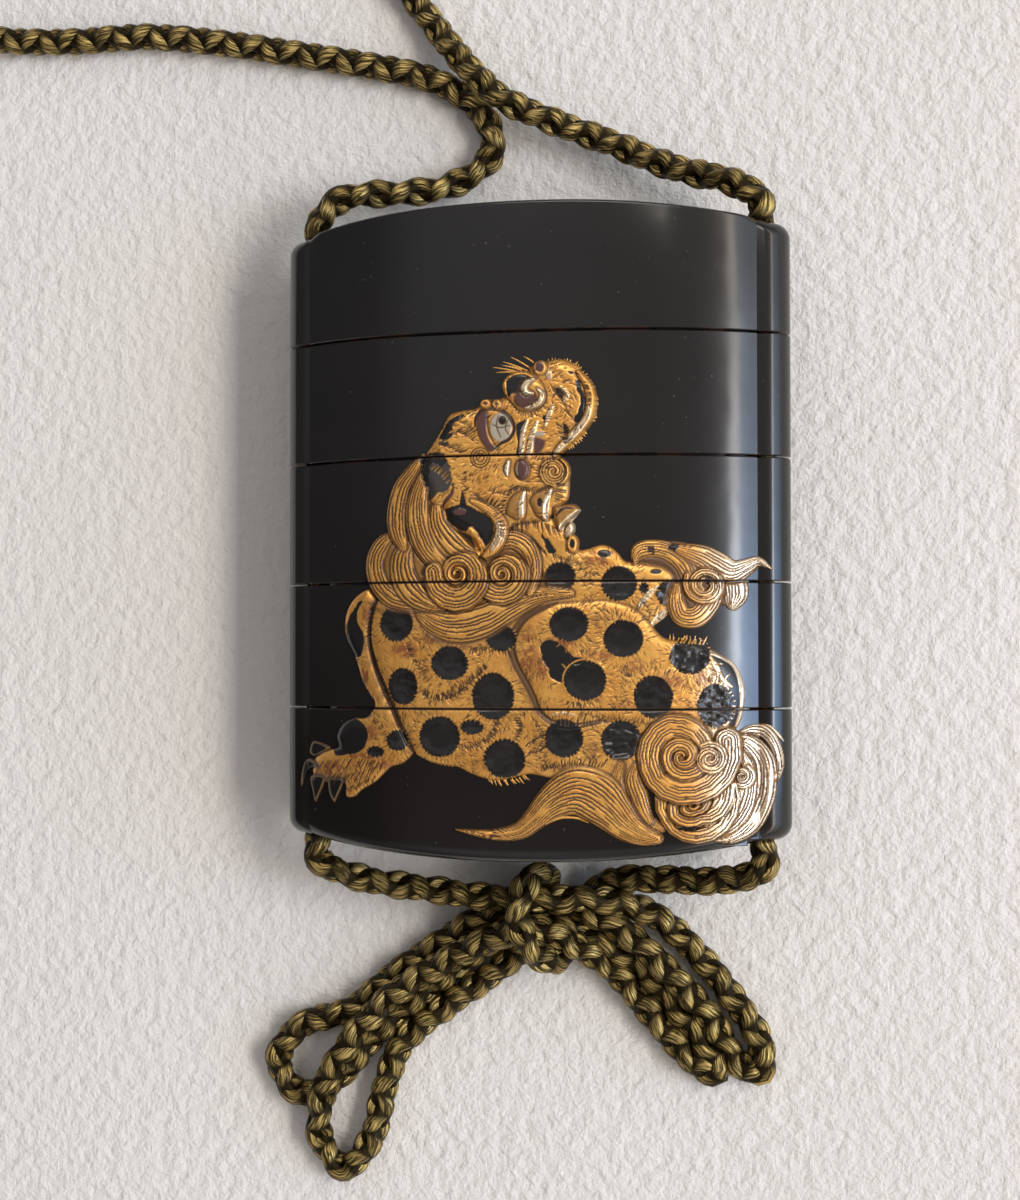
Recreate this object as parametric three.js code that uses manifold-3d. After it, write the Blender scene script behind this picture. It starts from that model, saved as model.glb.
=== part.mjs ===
// An inro: a lacquered case of five stacked sections, lying on its back, with a lion in raised gold
// lacquer on its face and a braided silk cord that runs through both sides and is tied in a bow below.
// Millimetres. X runs across the case, Y from its base to its lid, Z up from the table.
import * as THREE from 'three';
import { mergeVertices } from 'three/addons/utils/BufferGeometryUtils.js';
import Module from 'manifold-3d';

const wasm = await Module();
wasm.setup();

// ---- driving dimensions ---------------------------------------------------------------------------
const HALF_WIDTH = 29.5;            // out to the cord ridges
const HALF_HEIGHT = 37.0;           // at the middle of the domed ends
const HALF_DEPTH = 10.0;            // from the middle plane to the crown of the face
const BACK_FLAT = 0.15;             // worn off the crown of the back, so that the case lies still
const MID_Z = HALF_DEPTH - BACK_FLAT;
const RIDGE_RADIUS = 3.4;           // half-round ridge that carries the cord on each narrow side
const RIDGE_X = HALF_WIDTH - RIDGE_RADIUS;
const FACE_STEP = 0.5;              // the face ends this far above the ridge
const FACE_POWER = 2.8;             // the face is flattish in the middle and rolls off at its sides
const TOP_DOME = 2.0;               // fall of the domed lid from its middle to its sides
const BASE_DOME = 2.3;
const CORNER_RADIUS = 1.8;
const JOINTS_Y = [22.3, 8.35, -5.7, -19.9];
const JOINT_GAP = 0.3;
const NAMES = ['lid', 'case_1', 'case_2', 'case_3', 'base'];

const WALL = 2.2;
const FLOOR = 1.3;
const LID_TOP = 2.8;
const BASE_FLOOR = 3.2;
const RISER_HEIGHT = 5.0;           // thin rim of each section that plugs into the one above
const RISER_WALL = 0.9;
const FIT_GAP = 0.3;
const CAVITY_HALF_WIDTH = 21.6;
const CHANNEL_RADIUS = 2.1;         // hole for the cord through every section

const CORD_DIAMETER = 3.2;
const CORD_SIDES = 8;
const CORD_STEP = 8.2;              // length of one straight piece of the plain cord tube
const COIL_RADIUS = 17.6;           // to the middle of the turns
const COIL_CENTRE = [-60, 93];
const COIL_TURNS = 2;

const LACQUER = { color: 0x1d1b1b, roughness: 0.18, metalness: 0.0 };
const SILK = { color: 0x4a3c1e, roughness: 0.6, metalness: 0.0 };

// ---- solids ---------------------------------------------------------------------------------------
function solid(geometry) {
  const bare = geometry.clone();
  bare.deleteAttribute('normal');
  bare.deleteAttribute('uv');
  const merged = mergeVertices(bare, 1e-4);
  return new wasm.Manifold(new wasm.Mesh({
    numProp: 3,
    vertProperties: new Float32Array(merged.attributes.position.array),
    triVerts: new Uint32Array(merged.index.array),
  }));
}

function geometryOf(manifold) {
  const mesh = manifold.getMesh();
  const geometry = new THREE.BufferGeometry();
  geometry.setAttribute('position', new THREE.BufferAttribute(new Float32Array(mesh.vertProperties), 3));
  geometry.setIndex(new THREE.BufferAttribute(new Uint32Array(mesh.triVerts), 1));
  geometry.computeVertexNormals();
  return geometry;
}

// The largest body alone: crossing ridges can leave specks smaller than a hair.
function mainBody(manifold) {
  return manifold.decompose().reduce((best, body) => (body.volume() > best.volume() ? body : best));
}

// A plan outline in (x, z about the middle plane), run along Y between two heights.
function alongY(outline, low, high) {
  const geometry = new THREE.ExtrudeGeometry(new THREE.Shape(outline), {
    depth: high - low, bevelEnabled: false, steps: 1,
  });
  geometry.rotateX(Math.PI / 2);
  geometry.translate(0, high, MID_Z);
  return solid(geometry);
}

// ---- the outside of the case ------------------------------------------------------------------------
// Height of the lens-shaped face above the middle plane.
function faceHeight(x) {
  const edge = RIDGE_RADIUS + FACE_STEP;
  return edge + (HALF_DEPTH - edge) * (1 - Math.pow(Math.abs(x) / RIDGE_X, FACE_POWER));
}

// Height of the whole front, ridges included.
function frontHeight(x) {
  const out = Math.abs(x) - RIDGE_X;
  if (out <= 0) return faceHeight(x);
  return Math.sqrt(Math.max(RIDGE_RADIUS ** 2 - out ** 2, 0));
}

function caseOutline() {
  const faceSteps = 16;
  const ridgeSteps = 6;
  const points = [];
  for (const side of [1, -1]) {
    for (let i = 0; i <= faceSteps; i += 1) {
      const x = side * RIDGE_X * (2 * i / faceSteps - 1);
      points.push(new THREE.Vector2(x, Math.max(side * faceHeight(x), -MID_Z)));
    }
    for (let i = 0; i <= ridgeSteps; i += 1) {
      const angle = Math.PI / 2 - Math.PI * i / ridgeSteps;
      points.push(new THREE.Vector2(
        side * (RIDGE_X + RIDGE_RADIUS * Math.cos(angle)),
        side * RIDGE_RADIUS * Math.sin(angle),
      ));
    }
  }
  return points.reverse();
}

// Front elevation: domed ends and rounded corners.
function frontElevation() {
  const steps = 16;
  const shape = [];
  for (const end of [1, -1]) {
    const dome = end > 0 ? TOP_DOME : BASE_DOME;
    const cornerY = end * (HALF_HEIGHT - dome - CORNER_RADIUS);
    const reach = HALF_WIDTH - CORNER_RADIUS;
    for (let i = 0; i <= 3; i += 1) {
      const angle = (Math.PI / 2) * i / 3;
      shape.push(new THREE.Vector2(
        end * (reach + CORNER_RADIUS * Math.cos(angle)),
        cornerY + end * CORNER_RADIUS * Math.sin(angle),
      ));
    }
    for (let i = 1; i < steps; i += 1) {
      const x = end * reach * (1 - 2 * i / steps);
      shape.push(new THREE.Vector2(x, end * (HALF_HEIGHT - dome * (x / reach) ** 2)));
    }
    for (let i = 3; i >= 0; i -= 1) {
      const angle = (Math.PI / 2) * i / 3;
      shape.push(new THREE.Vector2(
        -end * (reach + CORNER_RADIUS * Math.cos(angle)),
        cornerY + end * CORNER_RADIUS * Math.sin(angle),
      ));
    }
  }
  return shape;
}

function wholeCase() {
  const reach = HALF_HEIGHT + 1;
  const prism = alongY(caseOutline(), -reach, reach);
  const plate = new THREE.ExtrudeGeometry(new THREE.Shape(frontElevation()), {
    depth: 2 * HALF_DEPTH + 2, bevelEnabled: false, steps: 1,
  });
  plate.translate(0, 0, -1);
  return prism.intersect(solid(plate));
}

// ---- the hollow inside ------------------------------------------------------------------------------
// Lens outline, a set distance outside the cavity that holds the contents.
function cavityOutline(outward) {
  const steps = 8;
  const half = CAVITY_HALF_WIDTH + outward;
  const points = [];
  for (const side of [1, -1]) {
    for (let i = 0; i <= steps; i += 1) {
      const x = side * half * (1 - 2 * i / steps);
      points.push(new THREE.Vector2(x, side * (faceHeight(x) - WALL + outward)));
    }
  }
  return points;
}

function cordChannels() {
  const reach = HALF_HEIGHT + 2;
  const bore = new THREE.CylinderGeometry(CHANNEL_RADIUS, CHANNEL_RADIUS, 2 * reach, 10);
  const right = bore.clone().translate(RIDGE_X, 0, MID_Z);
  const left = bore.clone().translate(-RIDGE_X, 0, MID_Z);
  return solid(right).add(solid(left));
}

// ---- raised gold lacquer ----------------------------------------------------------------------------
const RELIEF_SINK = 0.6;            // how far each raised piece is bedded in the wall
const ARCH = [[-1, 0], [-0.55, 0.86], [0.55, 0.86], [1, 0]];

// A tapered, rounded ridge along [x, y, half width] points, lying on the curved front.
function strand(points, height, steps) {
  const curve = new THREE.CatmullRomCurve3(points.map((p) => new THREE.Vector3(...p)), false, 'centripetal');
  const count = steps ?? Math.round(1.6 * points.length);
  const ring = ARCH.length + 2;
  const vertices = [];
  for (let i = 0; i < count; i += 1) {
    const here = curve.getPoint(i / (count - 1));
    const way = curve.getTangent(i / (count - 1));
    const across = new THREE.Vector2(way.y, -way.x).normalize();
    const half = Math.max(here.z, 0.08);
    const rise = height * Math.min(1, half / 0.8);
    const profile = [[-1, -1], ...ARCH, [1, -1]];
    profile.forEach(([side, up], k) => {
      const x = here.x + across.x * half * side;
      const y = here.y + across.y * half * side;
      const bedded = k === 0 || k === ring - 1 ? -RELIEF_SINK : up * rise - 0.05;
      vertices.push(x, y, MID_Z + frontHeight(x) + bedded);
    });
  }
  const faces = [];
  for (let i = 0; i + 1 < count; i += 1) {
    for (let k = 0; k < ring; k += 1) {
      const a = i * ring + k;
      const b = i * ring + (k + 1) % ring;
      faces.push(a, b, a + ring, b, b + ring, a + ring);
    }
  }
  const last = (count - 1) * ring;
  for (let k = 1; k + 1 < ring; k += 1) {
    faces.push(0, k + 1, k, last, last + k, last + k + 1);
  }
  const geometry = new THREE.BufferGeometry();
  geometry.setAttribute('position', new THREE.Float32BufferAttribute(vertices, 3));
  geometry.setIndex(faces);
  return solid(geometry);
}

// A curl: one ridge wound inwards on itself.
function curl([x, y], radius, turns, startAngle, hand, height) {
  const stations = Math.round(turns * 6.5);
  const points = [];
  for (let i = 0; i <= stations; i += 1) {
    const t = i / stations;
    const angle = startAngle + hand * t * turns * 2 * Math.PI;
    const out = radius * (1 - 0.85 * t);
    const half = Math.min(0.16 * radius + 0.22, 0.8 * out);
    points.push([x + out * Math.cos(angle), y + out * Math.sin(angle), half]);
  }
  return strand(points, height, stations + 1);
}

const HEAD = [
  [[[-11, 8.6, 0.9], [-8, 10.4, 2.8], [-4, 10.4, 4.0], [0.5, 9.6, 4.4], [4.6, 8.4, 2.4]], 0.9],
  [[[-8, 5.6, 1.2], [-4, 5.4, 2.8], [1, 5.2, 3.0], [4.6, 4.8, 1.6]], 0.8],
  [[[-1.2, 15.4, 1.0], [0.2, 17.4, 0.9], [3, 17.9, 1.2], [6, 17.2, 1.4], [7.6, 14.8, 1.3],
    [7.2, 12, 1.3], [5.2, 9.9, 1.3]], 1.3],
  [[[-0.6, 14.6, 1.2], [1, 14.5, 1.7], [2.8, 14.9, 1.1]], 1.5],
  [[[3.2, 17.2, 0.5], [4.4, 15.4, 0.9], [3.4, 12.8, 1.0], [2.4, 10.4, 0.9]], 1.3],
  [[[-2, 13.3, 0.5], [-1.9, 11.6, 1.5], [-1.8, 9.9, 0.5]], 1.5],
  [[[5.4, 8.4, 0.8], [5.9, 6, 0.9], [5.3, 3.6, 0.6]], 1.1],
  [[[0.4, 4.7, 0.3], [0, 3.1, 0.9], [-0.2, 1.5, 0.4]], 1.3],
  [[[3.6, 4.6, 0.3], [2.9, 2.9, 1.0], [3.3, 1.1, 0.4]], 1.3],
  [[[4.4, 0.4, 0.6], [5, 1.8, 0.8], [6.9, 2.4, 0.15]], 1.3],
  [[[5.6, -0.6, 0.3], [6.2, -1.4, 0.7], [6.3, -2.8, 0.4]], 1.0],
  [[[-8.3, 2.4, 0.6], [-5.6, 2.2, 1.0], [-3.2, 1.2, 1.3], [-2.4, -0.8, 1.1], [-3.6, -2.6, 0.4]], 1.3],
];

const MANE = [
  [[[-10.8, 8.1, 0.4], [-13.2, 6, 1.4], [-14.2, 2.6, 1.7], [-13.9, -0.6, 1.2], [-12.9, -2.2, 0.3]], 1.2],
  [[[-11, 6.2, 0.4], [-11.9, 3, 1.4], [-11.6, -0.6, 1.7], [-10.6, -3.2, 1.2], [-9.2, -4.6, 0.4]], 1.2],
  [[[-9.3, 2.4, 0.4], [-8.8, 0.2, 1.2], [-7, -1.8, 1.3], [-5, -3.1, 0.4]], 1.1],
  [[[-15.6, -0.2, 0.4], [-17.8, -2.4, 1.2], [-17.8, -5.4, 1.6], [-15.2, -8.2, 1.2], [-10.6, -9.3, 0.4]], 1.1],
  [[[-12.9, -2.2, 0.5], [-14.6, -4.2, 1.3], [-13.8, -6.8, 1.4], [-10.4, -8.8, 0.5]], 1.1],
  [[[-12.4, -9.4, 0.5], [-9.3, -10.9, 1.5], [-4.8, -11.2, 1.8], [-0.3, -9.7, 1.5], [3.6, -7.7, 1.1],
    [7.2, -6.8, 0.3]], 1.0],
  [[[-0.6, -0.4, 0.5], [1.6, -1.8, 1.4], [2.1, -4.6, 1.2], [1.6, -6.4, 0.6]], 1.0],
];

const BODY = [
  [[[-15.4, -9.5, 1.8], [-12.5, -13.5, 4.6], [-5.5, -16, 6.4], [1.5, -15, 7.4], [8.5, -12, 6.6],
    [14.5, -10.5, 4.0], [18.5, -13, 2.0]], 0.9],
  [[[2.4, -9.6, 1.4], [6, -14, 5.2], [11, -16.5, 5.6], [16.5, -17, 4.6], [21.5, -18.5, 2.0]], 1.3],
  [[[-15.2, -21, 1.6], [-8.5, -22.6, 3.0], [-2.5, -24.4, 3.2], [4, -24, 3.0], [10, -22.6, 2.8],
    [15.5, -20.6, 1.6]], 0.9],
  [[[1.8, -0.4, 1.0], [4.6, -2.9, 2.0], [8.6, -4, 2.2], [13, -5.4, 1.5], [17.4, -6.8, 0.8]], 0.9],
  [[[-20.8, -9.4, 0.3], [-20.2, -7.8, 0.5], [-18.6, -7.4, 1.0], [-18.3, -10.4, 0.8], [-18.8, -14, 1.1],
    [-17.6, -17.8, 1.3], [-15.4, -21.4, 1.1], [-13.6, -24.6, 0.9]], 1.1],
  [[[-18.2, -20.6, 0.8], [-16.8, -22.6, 1.3], [-16, -24.8, 0.8]], 0.8],
  [[[-12.8, -25.2, 0.5], [-15.4, -26.2, 0.9], [-18.8, -26.2, 1.5], [-22.4, -25.7, 1.4],
    [-25.4, -24.6, 0.8]], 1.0],
  [[[-17, -26.8, 0.7], [-19.2, -28.2, 1.0], [-20.8, -29.6, 0.3]], 0.9],
  [[[-22, -26.8, 0.4], [-22.7, -28.6, 0.5], [-22.9, -30.4, 0.15]], 0.8],
  [[[-24.2, -26.6, 0.4], [-25, -28.6, 0.5], [-25.5, -30.4, 0.15]], 0.8],
  [[[-25.8, -25.2, 0.4], [-26.5, -27, 0.4], [-27, -28.8, 0.15]], 0.8],
  [[[17.4, -12.2, 0.5], [18.8, -14, 1.9], [21.4, -17.6, 1.5], [22.2, -21.4, 1.2]], 1.2],
  [[[20.6, -13, 0.3], [23, -15, 0.4], [24.2, -18, 0.35], [24, -21, 0.3]], 0.9],
];

const TUFT = [
  [[[12.6, -3.9, 0.5], [13.7, -2.5, 1.0], [16.6, -2.3, 1.5], [20, -2.4, 1.6], [22.6, -3.9, 1.8],
    [25, -3.8, 1.3], [27.4, -4.5, 0.3]], 1.1],
  [[[16.2, -4.6, 0.6], [18.4, -4.2, 1.4], [21, -5, 1.4], [22, -7, 1.4], [20.4, -9.3, 1.2],
    [17.6, -9.8, 0.9], [16.6, -8.8, 0.3]], 1.2],
  [[[21.8, -4.6, 0.5], [24, -5.6, 1.3], [24.2, -7.6, 1.2], [22.9, -8.5, 0.5]], 1.1],
];

const TAIL = [
  [[[-7.8, -33.1, 0.12], [-3.6, -33.6, 0.5], [-0.2, -33.1, 1.3], [2.8, -30.8, 1.9], [6, -29, 2.2],
    [9, -30.2, 2.3], [11.6, -32.6, 1.7], [14.8, -33.9, 0.4]], 1.1],
  [[[12.6, -26, 0.4], [10.9, -28.2, 1.2], [10.9, -31, 1.3], [12.9, -33, 0.8], [15, -33.4, 0.3]], 1.1],
  [[[21.4, -22.9, 0.5], [25, -23.7, 1.1], [26, -26.8, 1.2], [25.2, -30, 1.2], [23.4, -32.6, 1.0],
    [20.6, -34.3, 0.3]], 1.1],
  [[[23.4, -22, 0.3], [26.6, -22.6, 0.7], [28, -25, 0.6], [27.9, -27.6, 0.15]], 0.9],
];

// Curls: centre, radius, turns, starting angle, hand, height.
const CURLS = [
  [[-7.3, -5.0], 3.6, 2, 0.4 * Math.PI, -1, 1.2],
  [[-1.9, -4.9], 3.2, 2, 0.6 * Math.PI, -1, 1.2],
  [[19.8, -6.2], 2.2, 1.5, 0.5 * Math.PI, -1, 1.3],
  [[17.7, -25.8], 4.6, 2.2, -0.3 * Math.PI, 1, 1.3],
  [[21.4, -25.2], 2.0, 1.2, 0.6 * Math.PI, -1, 1.2],
  [[18.7, -31.2], 3.4, 2, 0.2 * Math.PI, -1, 1.2],
];

function relief() {
  const pieces = [HEAD, MANE, BODY, TUFT, TAIL].flat().map(([points, height]) => strand(points, height));
  const curls = CURLS.map((row) => curl(...row));
  return wasm.Manifold.union([...pieces, ...curls]);
}

// ---- the five sections ------------------------------------------------------------------------------
function sections() {
  const body = wholeCase();
  const raised = relief();
  const channels = cordChannels();
  const limits = [HALF_HEIGHT + 2, ...JOINTS_Y, -HALF_HEIGHT - 2];
  const slab = [[-40, -20], [40, -20], [40, 20], [-40, 20]].map(([x, z]) => new THREE.Vector2(x, z));
  return NAMES.map((name, i) => {
    const isLid = i === 0;
    const isBase = i === NAMES.length - 1;
    const high = isLid ? limits[i] : limits[i] - JOINT_GAP / 2;
    const low = isBase ? limits[i + 1] : limits[i + 1] + JOINT_GAP / 2;
    const band = alongY(slab, low, high);
    let piece = body.add(raised).intersect(band);
    const recessTop = low + RISER_HEIGHT + FIT_GAP;
    const floorY = isBase ? -HALF_HEIGHT + BASE_FLOOR : recessTop + FLOOR;
    const ceiling = isLid ? HALF_HEIGHT - LID_TOP : high + 1;
    if (!isBase) {
      piece = piece.subtract(alongY(cavityOutline(RISER_WALL + FIT_GAP), low - 1, recessTop));
    }
    piece = piece.subtract(alongY(cavityOutline(0), isLid ? low - 1 : floorY, ceiling));
    if (!isLid) {
      const rim = alongY(cavityOutline(RISER_WALL), high - 1, high + RISER_HEIGHT)
        .subtract(alongY(cavityOutline(0), high - 2, high + RISER_HEIGHT + 1));
      piece = piece.add(rim);
    }
    return [name, geometryOf(mainBody(piece.subtract(channels))), LACQUER];
  });
}

// ---- the cord -----------------------------------------------------------------------------------------
const REST_Z = 1.75;                // centre of a cord that lies on the table
const TOP_ENTRY = 35.1;             // the loose cord starts just inside the mouth of its channel
const BASE_ENTRY = 34.8;

// From the left channel of the lid: along the end of the case, round and back under the other
// strand, and off to the left, towards the coil.
const TOP_LEFT_ROUTE = [
  [-RIDGE_X, TOP_ENTRY, MID_Z], [-26.1, 37.6, 9.7], [-23.6, 40.6, 8.2], [-18.4, 41.4, 6.0],
  [-13.6, 42.0, 4.2], [-9.8, 43.6, 2.6], [-7.0, 46.4, 1.8], [-7.2, 50.0, REST_Z],
  [-10.2, 53.6, REST_Z], [-15.0, 56.2, REST_Z], [-22.5, 58.2, REST_Z], [-31.0, 60.0, REST_Z],
  [-41.0, 62.0, REST_Z], [-51.0, 63.4, REST_Z], [-61.0, 63.4, REST_Z], [-70.5, 64.2, REST_Z],
  [-78.5, 66.4, REST_Z], [-83.2, 72.4, REST_Z], [-83.2, 80.0, REST_Z], [-81.2, 88.6, REST_Z],
];
// From the right channel of the lid: over the first strand, out past the top, down on to the coil.
const TOP_RIGHT_ROUTE = [
  [RIDGE_X, TOP_ENTRY, MID_Z], [26.2, 37.8, 9.7], [22.8, 40.4, 8.4], [17.2, 42.4, 6.2],
  [12.8, 44.3, 5.0], [8.8, 46.3, 4.2], [4.0, 48.3, 4.0], [-0.6, 50.2, 4.6], [-5.0, 52.4, 5.2],
  [-8.4, 55.6, 4.6], [-11.6, 59.4, 3.0], [-14.8, 63.6, REST_Z], [-18.2, 68.4, REST_Z],
  [-24.6, 78.0, REST_Z], [-33.2, 90.8, 2.8], [-42.9, 105.4, 4.8],
];
// The bow under the base, from the left channel to the right one: five passes through the knot,
// two loops on each side, and a last turn round the whole knot.
const BOW_ROUTE = [
  [-RIDGE_X, -BASE_ENTRY, MID_Z], [-26.2, -37.8, 9.7], [-21.6, -40.1, 8.4], [-13.5, -41.4, 7.2],
  [-6.5, -42.2, 7.2], [0.5, -42.3, 7.3],
  [7.0, -42.3, 6.0], [12.6, -44.2, 3.4], [17.2, -48.4, 1.9], [21.6, -53.6, REST_Z],
  [25.0, -59.0, REST_Z], [25.0, -62.4, REST_Z], [22.4, -61.4, REST_Z], [19.4, -56.4, 2.6],
  [14.6, -50.8, 4.0], [9.2, -46.0, 4.6],
  [1.5, -42.8, 4.4], [-5.5, -43.8, 4.2],
  [-12.0, -47.6, 2.4], [-18.8, -52.2, REST_Z], [-24.6, -56.8, REST_Z], [-30.6, -58.8, REST_Z],
  [-33.6, -63.0, REST_Z], [-31.0, -67.0, REST_Z], [-26.4, -65.2, REST_Z], [-21.4, -59.6, REST_Z],
  [-14.4, -53.6, REST_Z], [-7.4, -48.2, 2.8],
  [0.0, -45.8, 4.3], [5.0, -47.2, 3.4],
  [11.0, -50.6, REST_Z], [15.4, -55.4, REST_Z], [19.2, -60.2, REST_Z], [20.0, -62.8, REST_Z],
  [17.0, -61.2, REST_Z], [12.8, -56.8, REST_Z], [8.0, -51.2, 2.2], [3.6, -47.8, 5.0],
  [-1.0, -45.6, 7.4], [-6.6, -47.4, 6.4],
  [-12.6, -50.6, 4.6], [-18.6, -54.6, 4.4], [-23.6, -60.0, 4.6], [-27.4, -66.4, 3.4],
  [-28.2, -72.4, 1.9], [-25.2, -75.8, REST_Z], [-21.8, -72.0, REST_Z], [-20.2, -66.0, REST_Z],
  [-18.0, -60.6, REST_Z], [-12.4, -55.8, REST_Z], [-6.0, -51.2, REST_Z],
  [-2.0, -47.4, REST_Z], [-0.6, -42.0, 2.0], [0.4, -39.5, 5.6], [-1.0, -40.2, 9.4],
  [-2.0, -43.8, 10.6], [-0.6, -48.0, 9.0], [1.4, -49.6, 5.4], [3.2, -46.8, REST_Z],
  [4.6, -42.8, 2.2], [8.4, -40.3, 4.4],
  [14.6, -39.8, 6.6], [21.2, -39.6, 8.4], [26.2, -38.0, 9.7], [RIDGE_X, -BASE_ENTRY, MID_Z],
];

function cordTube(route) {
  const curve = new THREE.CatmullRomCurve3(route.map((p) => new THREE.Vector3(...p)), false, 'centripetal');
  const section = new THREE.Shape();
  for (let i = 0; i < CORD_SIDES; i += 1) {
    const angle = 2 * Math.PI * (i + 0.5) / CORD_SIDES;
    const point = [CORD_DIAMETER / 2 * Math.cos(angle), CORD_DIAMETER / 2 * Math.sin(angle)];
    if (i === 0) section.moveTo(...point);
    else section.lineTo(...point);
  }
  section.closePath();
  const steps = Math.round(curve.getLength() / CORD_STEP);
  return new THREE.ExtrudeGeometry(section, { steps, extrudePath: curve, bevelEnabled: false });
}

// The spare length, wound in two turns: a ring with the outer shape of the coil.
function coilRing() {
  const half = CORD_DIAMETER / 2;
  const tall = CORD_DIAMETER * COIL_TURNS;
  const profile = [
    [COIL_RADIUS - half, 0.1], [COIL_RADIUS + half, 0.1], [COIL_RADIUS + half, tall],
    [COIL_RADIUS - half, tall], [COIL_RADIUS - half, 0.1],
  ].map(([r, z]) => new THREE.Vector2(r, z));
  const ring = new THREE.LatheGeometry(profile, 24);
  ring.rotateX(Math.PI / 2);
  ring.translate(...COIL_CENTRE, 0);
  return ring;
}

// The lengths inside the two channels.
function channelRun(side) {
  const length = TOP_ENTRY + BASE_ENTRY - 2 * JOINT_GAP;
  const run = new THREE.CylinderGeometry(CORD_DIAMETER / 2, CORD_DIAMETER / 2, length, CORD_SIDES);
  return run.translate(side * RIDGE_X, (TOP_ENTRY - BASE_ENTRY) / 2, MID_Z);
}

function cords() {
  return [
    ['cord_top_left', cordTube(TOP_LEFT_ROUTE), SILK],
    ['cord_top_right', cordTube(TOP_RIGHT_ROUTE), SILK],
    ['cord_top_coil', coilRing(), SILK],
    ['cord_bow', cordTube(BOW_ROUTE), SILK],
    ['cord_run_left', channelRun(-1), SILK],
    ['cord_run_right', channelRun(1), SILK],
  ];
}

// ---- assembly -----------------------------------------------------------------------------------------
const inro = new THREE.Group();
inro.name = 'inro';
for (const [name, geometry, finish] of [...sections(), ...cords()]) {
  const mesh = new THREE.Mesh(geometry, new THREE.MeshStandardMaterial(finish));
  mesh.name = name;
  inro.add(mesh);
}

export default inro;
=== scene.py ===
import math
import random

import bpy
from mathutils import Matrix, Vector
import numpy as np


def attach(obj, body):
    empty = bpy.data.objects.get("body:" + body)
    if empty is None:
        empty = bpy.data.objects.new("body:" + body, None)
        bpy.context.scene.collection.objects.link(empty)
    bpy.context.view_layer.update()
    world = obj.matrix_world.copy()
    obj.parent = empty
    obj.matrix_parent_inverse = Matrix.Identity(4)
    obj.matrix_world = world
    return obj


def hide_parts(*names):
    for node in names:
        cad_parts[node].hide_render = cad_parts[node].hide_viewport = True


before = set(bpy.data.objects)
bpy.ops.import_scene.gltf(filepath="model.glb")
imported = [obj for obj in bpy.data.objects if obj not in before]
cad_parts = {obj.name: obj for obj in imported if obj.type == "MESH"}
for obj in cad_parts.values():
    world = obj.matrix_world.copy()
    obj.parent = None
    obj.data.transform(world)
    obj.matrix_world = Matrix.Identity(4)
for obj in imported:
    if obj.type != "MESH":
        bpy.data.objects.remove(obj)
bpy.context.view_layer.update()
MM = 0.001

# ---- driving dimensions, in millimetres: those of the part's source come first ----
HALF_WIDTH, HALF_HEIGHT, HALF_DEPTH = 29.5, 37.0, 10.0
BACK_FLAT = 0.15
MID_Z = HALF_DEPTH - BACK_FLAT
RIDGE_RADIUS = 3.4
RIDGE_X = HALF_WIDTH - RIDGE_RADIUS
FACE_EDGE = RIDGE_RADIUS + 0.5
FACE_POWER = 2.8
TOP_DOME, BASE_DOME = 2.0, 2.3
DOME_REACH = HALF_WIDTH - 1.8
JOINTS_Y = [22.3, 8.35, -5.7, -19.9]
NAMES = ["lid", "case_1", "case_2", "case_3", "base"]
WALL, FLOOR, LID_TOP, BASE_FLOOR = 2.2, 1.3, 2.8, 3.2
RISER_HEIGHT, RISER_WALL, FIT_GAP = 5.0, 0.9, 0.3
CAVITY_HALF_WIDTH = 21.6
CORD_DIAMETER = 3.2
COIL_RADIUS, COIL_CENTRE = 17.6, (-60.0, 93.0)
COIL_START, COIL_SWEEP, COIL_STEP = 165, 470, 24
CLIMB_FROM, CLIMB_TO = 300, 372
REST_Z = 1.75
TOP_ENTRY, BASE_ENTRY = 35.1, 34.8

# The lacquered sections: how far apart they look, their rounded rims (flat side, narrow side), their mesh.
SEEN_GAP = 0.18
SEAM_BEVEL = 0.12
TOP_RIM, BASE_RIM = (0.35, 1.8), (1.5, 1.9)
RIM_BLEND = 2.0
RIM_STEPS, FACE_STEPS, RIDGE_STEPS = 7, 96, 18
SHARP_ANGLE = 35
# The braid: how long a full turn is, where its strands run, and their section.
BRAID_PERIOD = 9.8
STRANDS = 4
STRAND_ORBIT, STRAND_WEAVE = 0.74, 0.18
STRAND_WIDE, STRAND_THICK = 1.16, 0.86
STRAND_SWELL, STRAND_DWELL = 0.12, 0.35
STRAND_SIDES = 12
THREAD_LENGTH, THREAD_TWIST = 0.01, 0.09
CORD_STEP, HIDDEN_CORD_STEP = 0.45, 1.0
RUN_INSET = 0.3
# The gold relief: its grid, how deep it is set into the lacquer, its lines, edges and the painted shade that
# darkens its rims.
GRID_STEP = 0.085
BLOCK = 8
SHEET_MARGIN, BASE_MARGIN = 0.5, 1.9
SUNK, UNDERSIDE = -0.25, -0.4
LINE_DEPTH = 0.06
GROOVE_WIDTH = 0.13
# Painted shade just outside a new form: how wide and how dark.
CONTOUR_SHADE_WIDTH, CONTOUR_SHADE_STRENGTH = 0.24, 0.85
SOFT_EDGE = 0.05
CURL_EDGE = 0.4
# How dark the painted shade along the rims of forms and bands is.
MASS_RIM_SHADE, BAND_RIM_SHADE = 0.75, 0.9
STAIN = 0.95
SPOT_DISH, SPOT_WRINKLE, SPOT_CLOUD = 0.13, 0.10, 0.13
FUR_SPACING = 0.24
WORN_WIDTH, WORN_DEPTH = 0.11, 0.06
GRAIN_HEIGHT = 0.012
# Age: how far red, green and blue of the gold change, and where and how much a painted glare whitens it.
TONE_SPREAD = (0.13, 0.25, 0.36)
PAINTED_GLARE_AMOUNT, PAINTED_GLARE_FROM_TO = 0.80, (18.5, 24.0)

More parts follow.
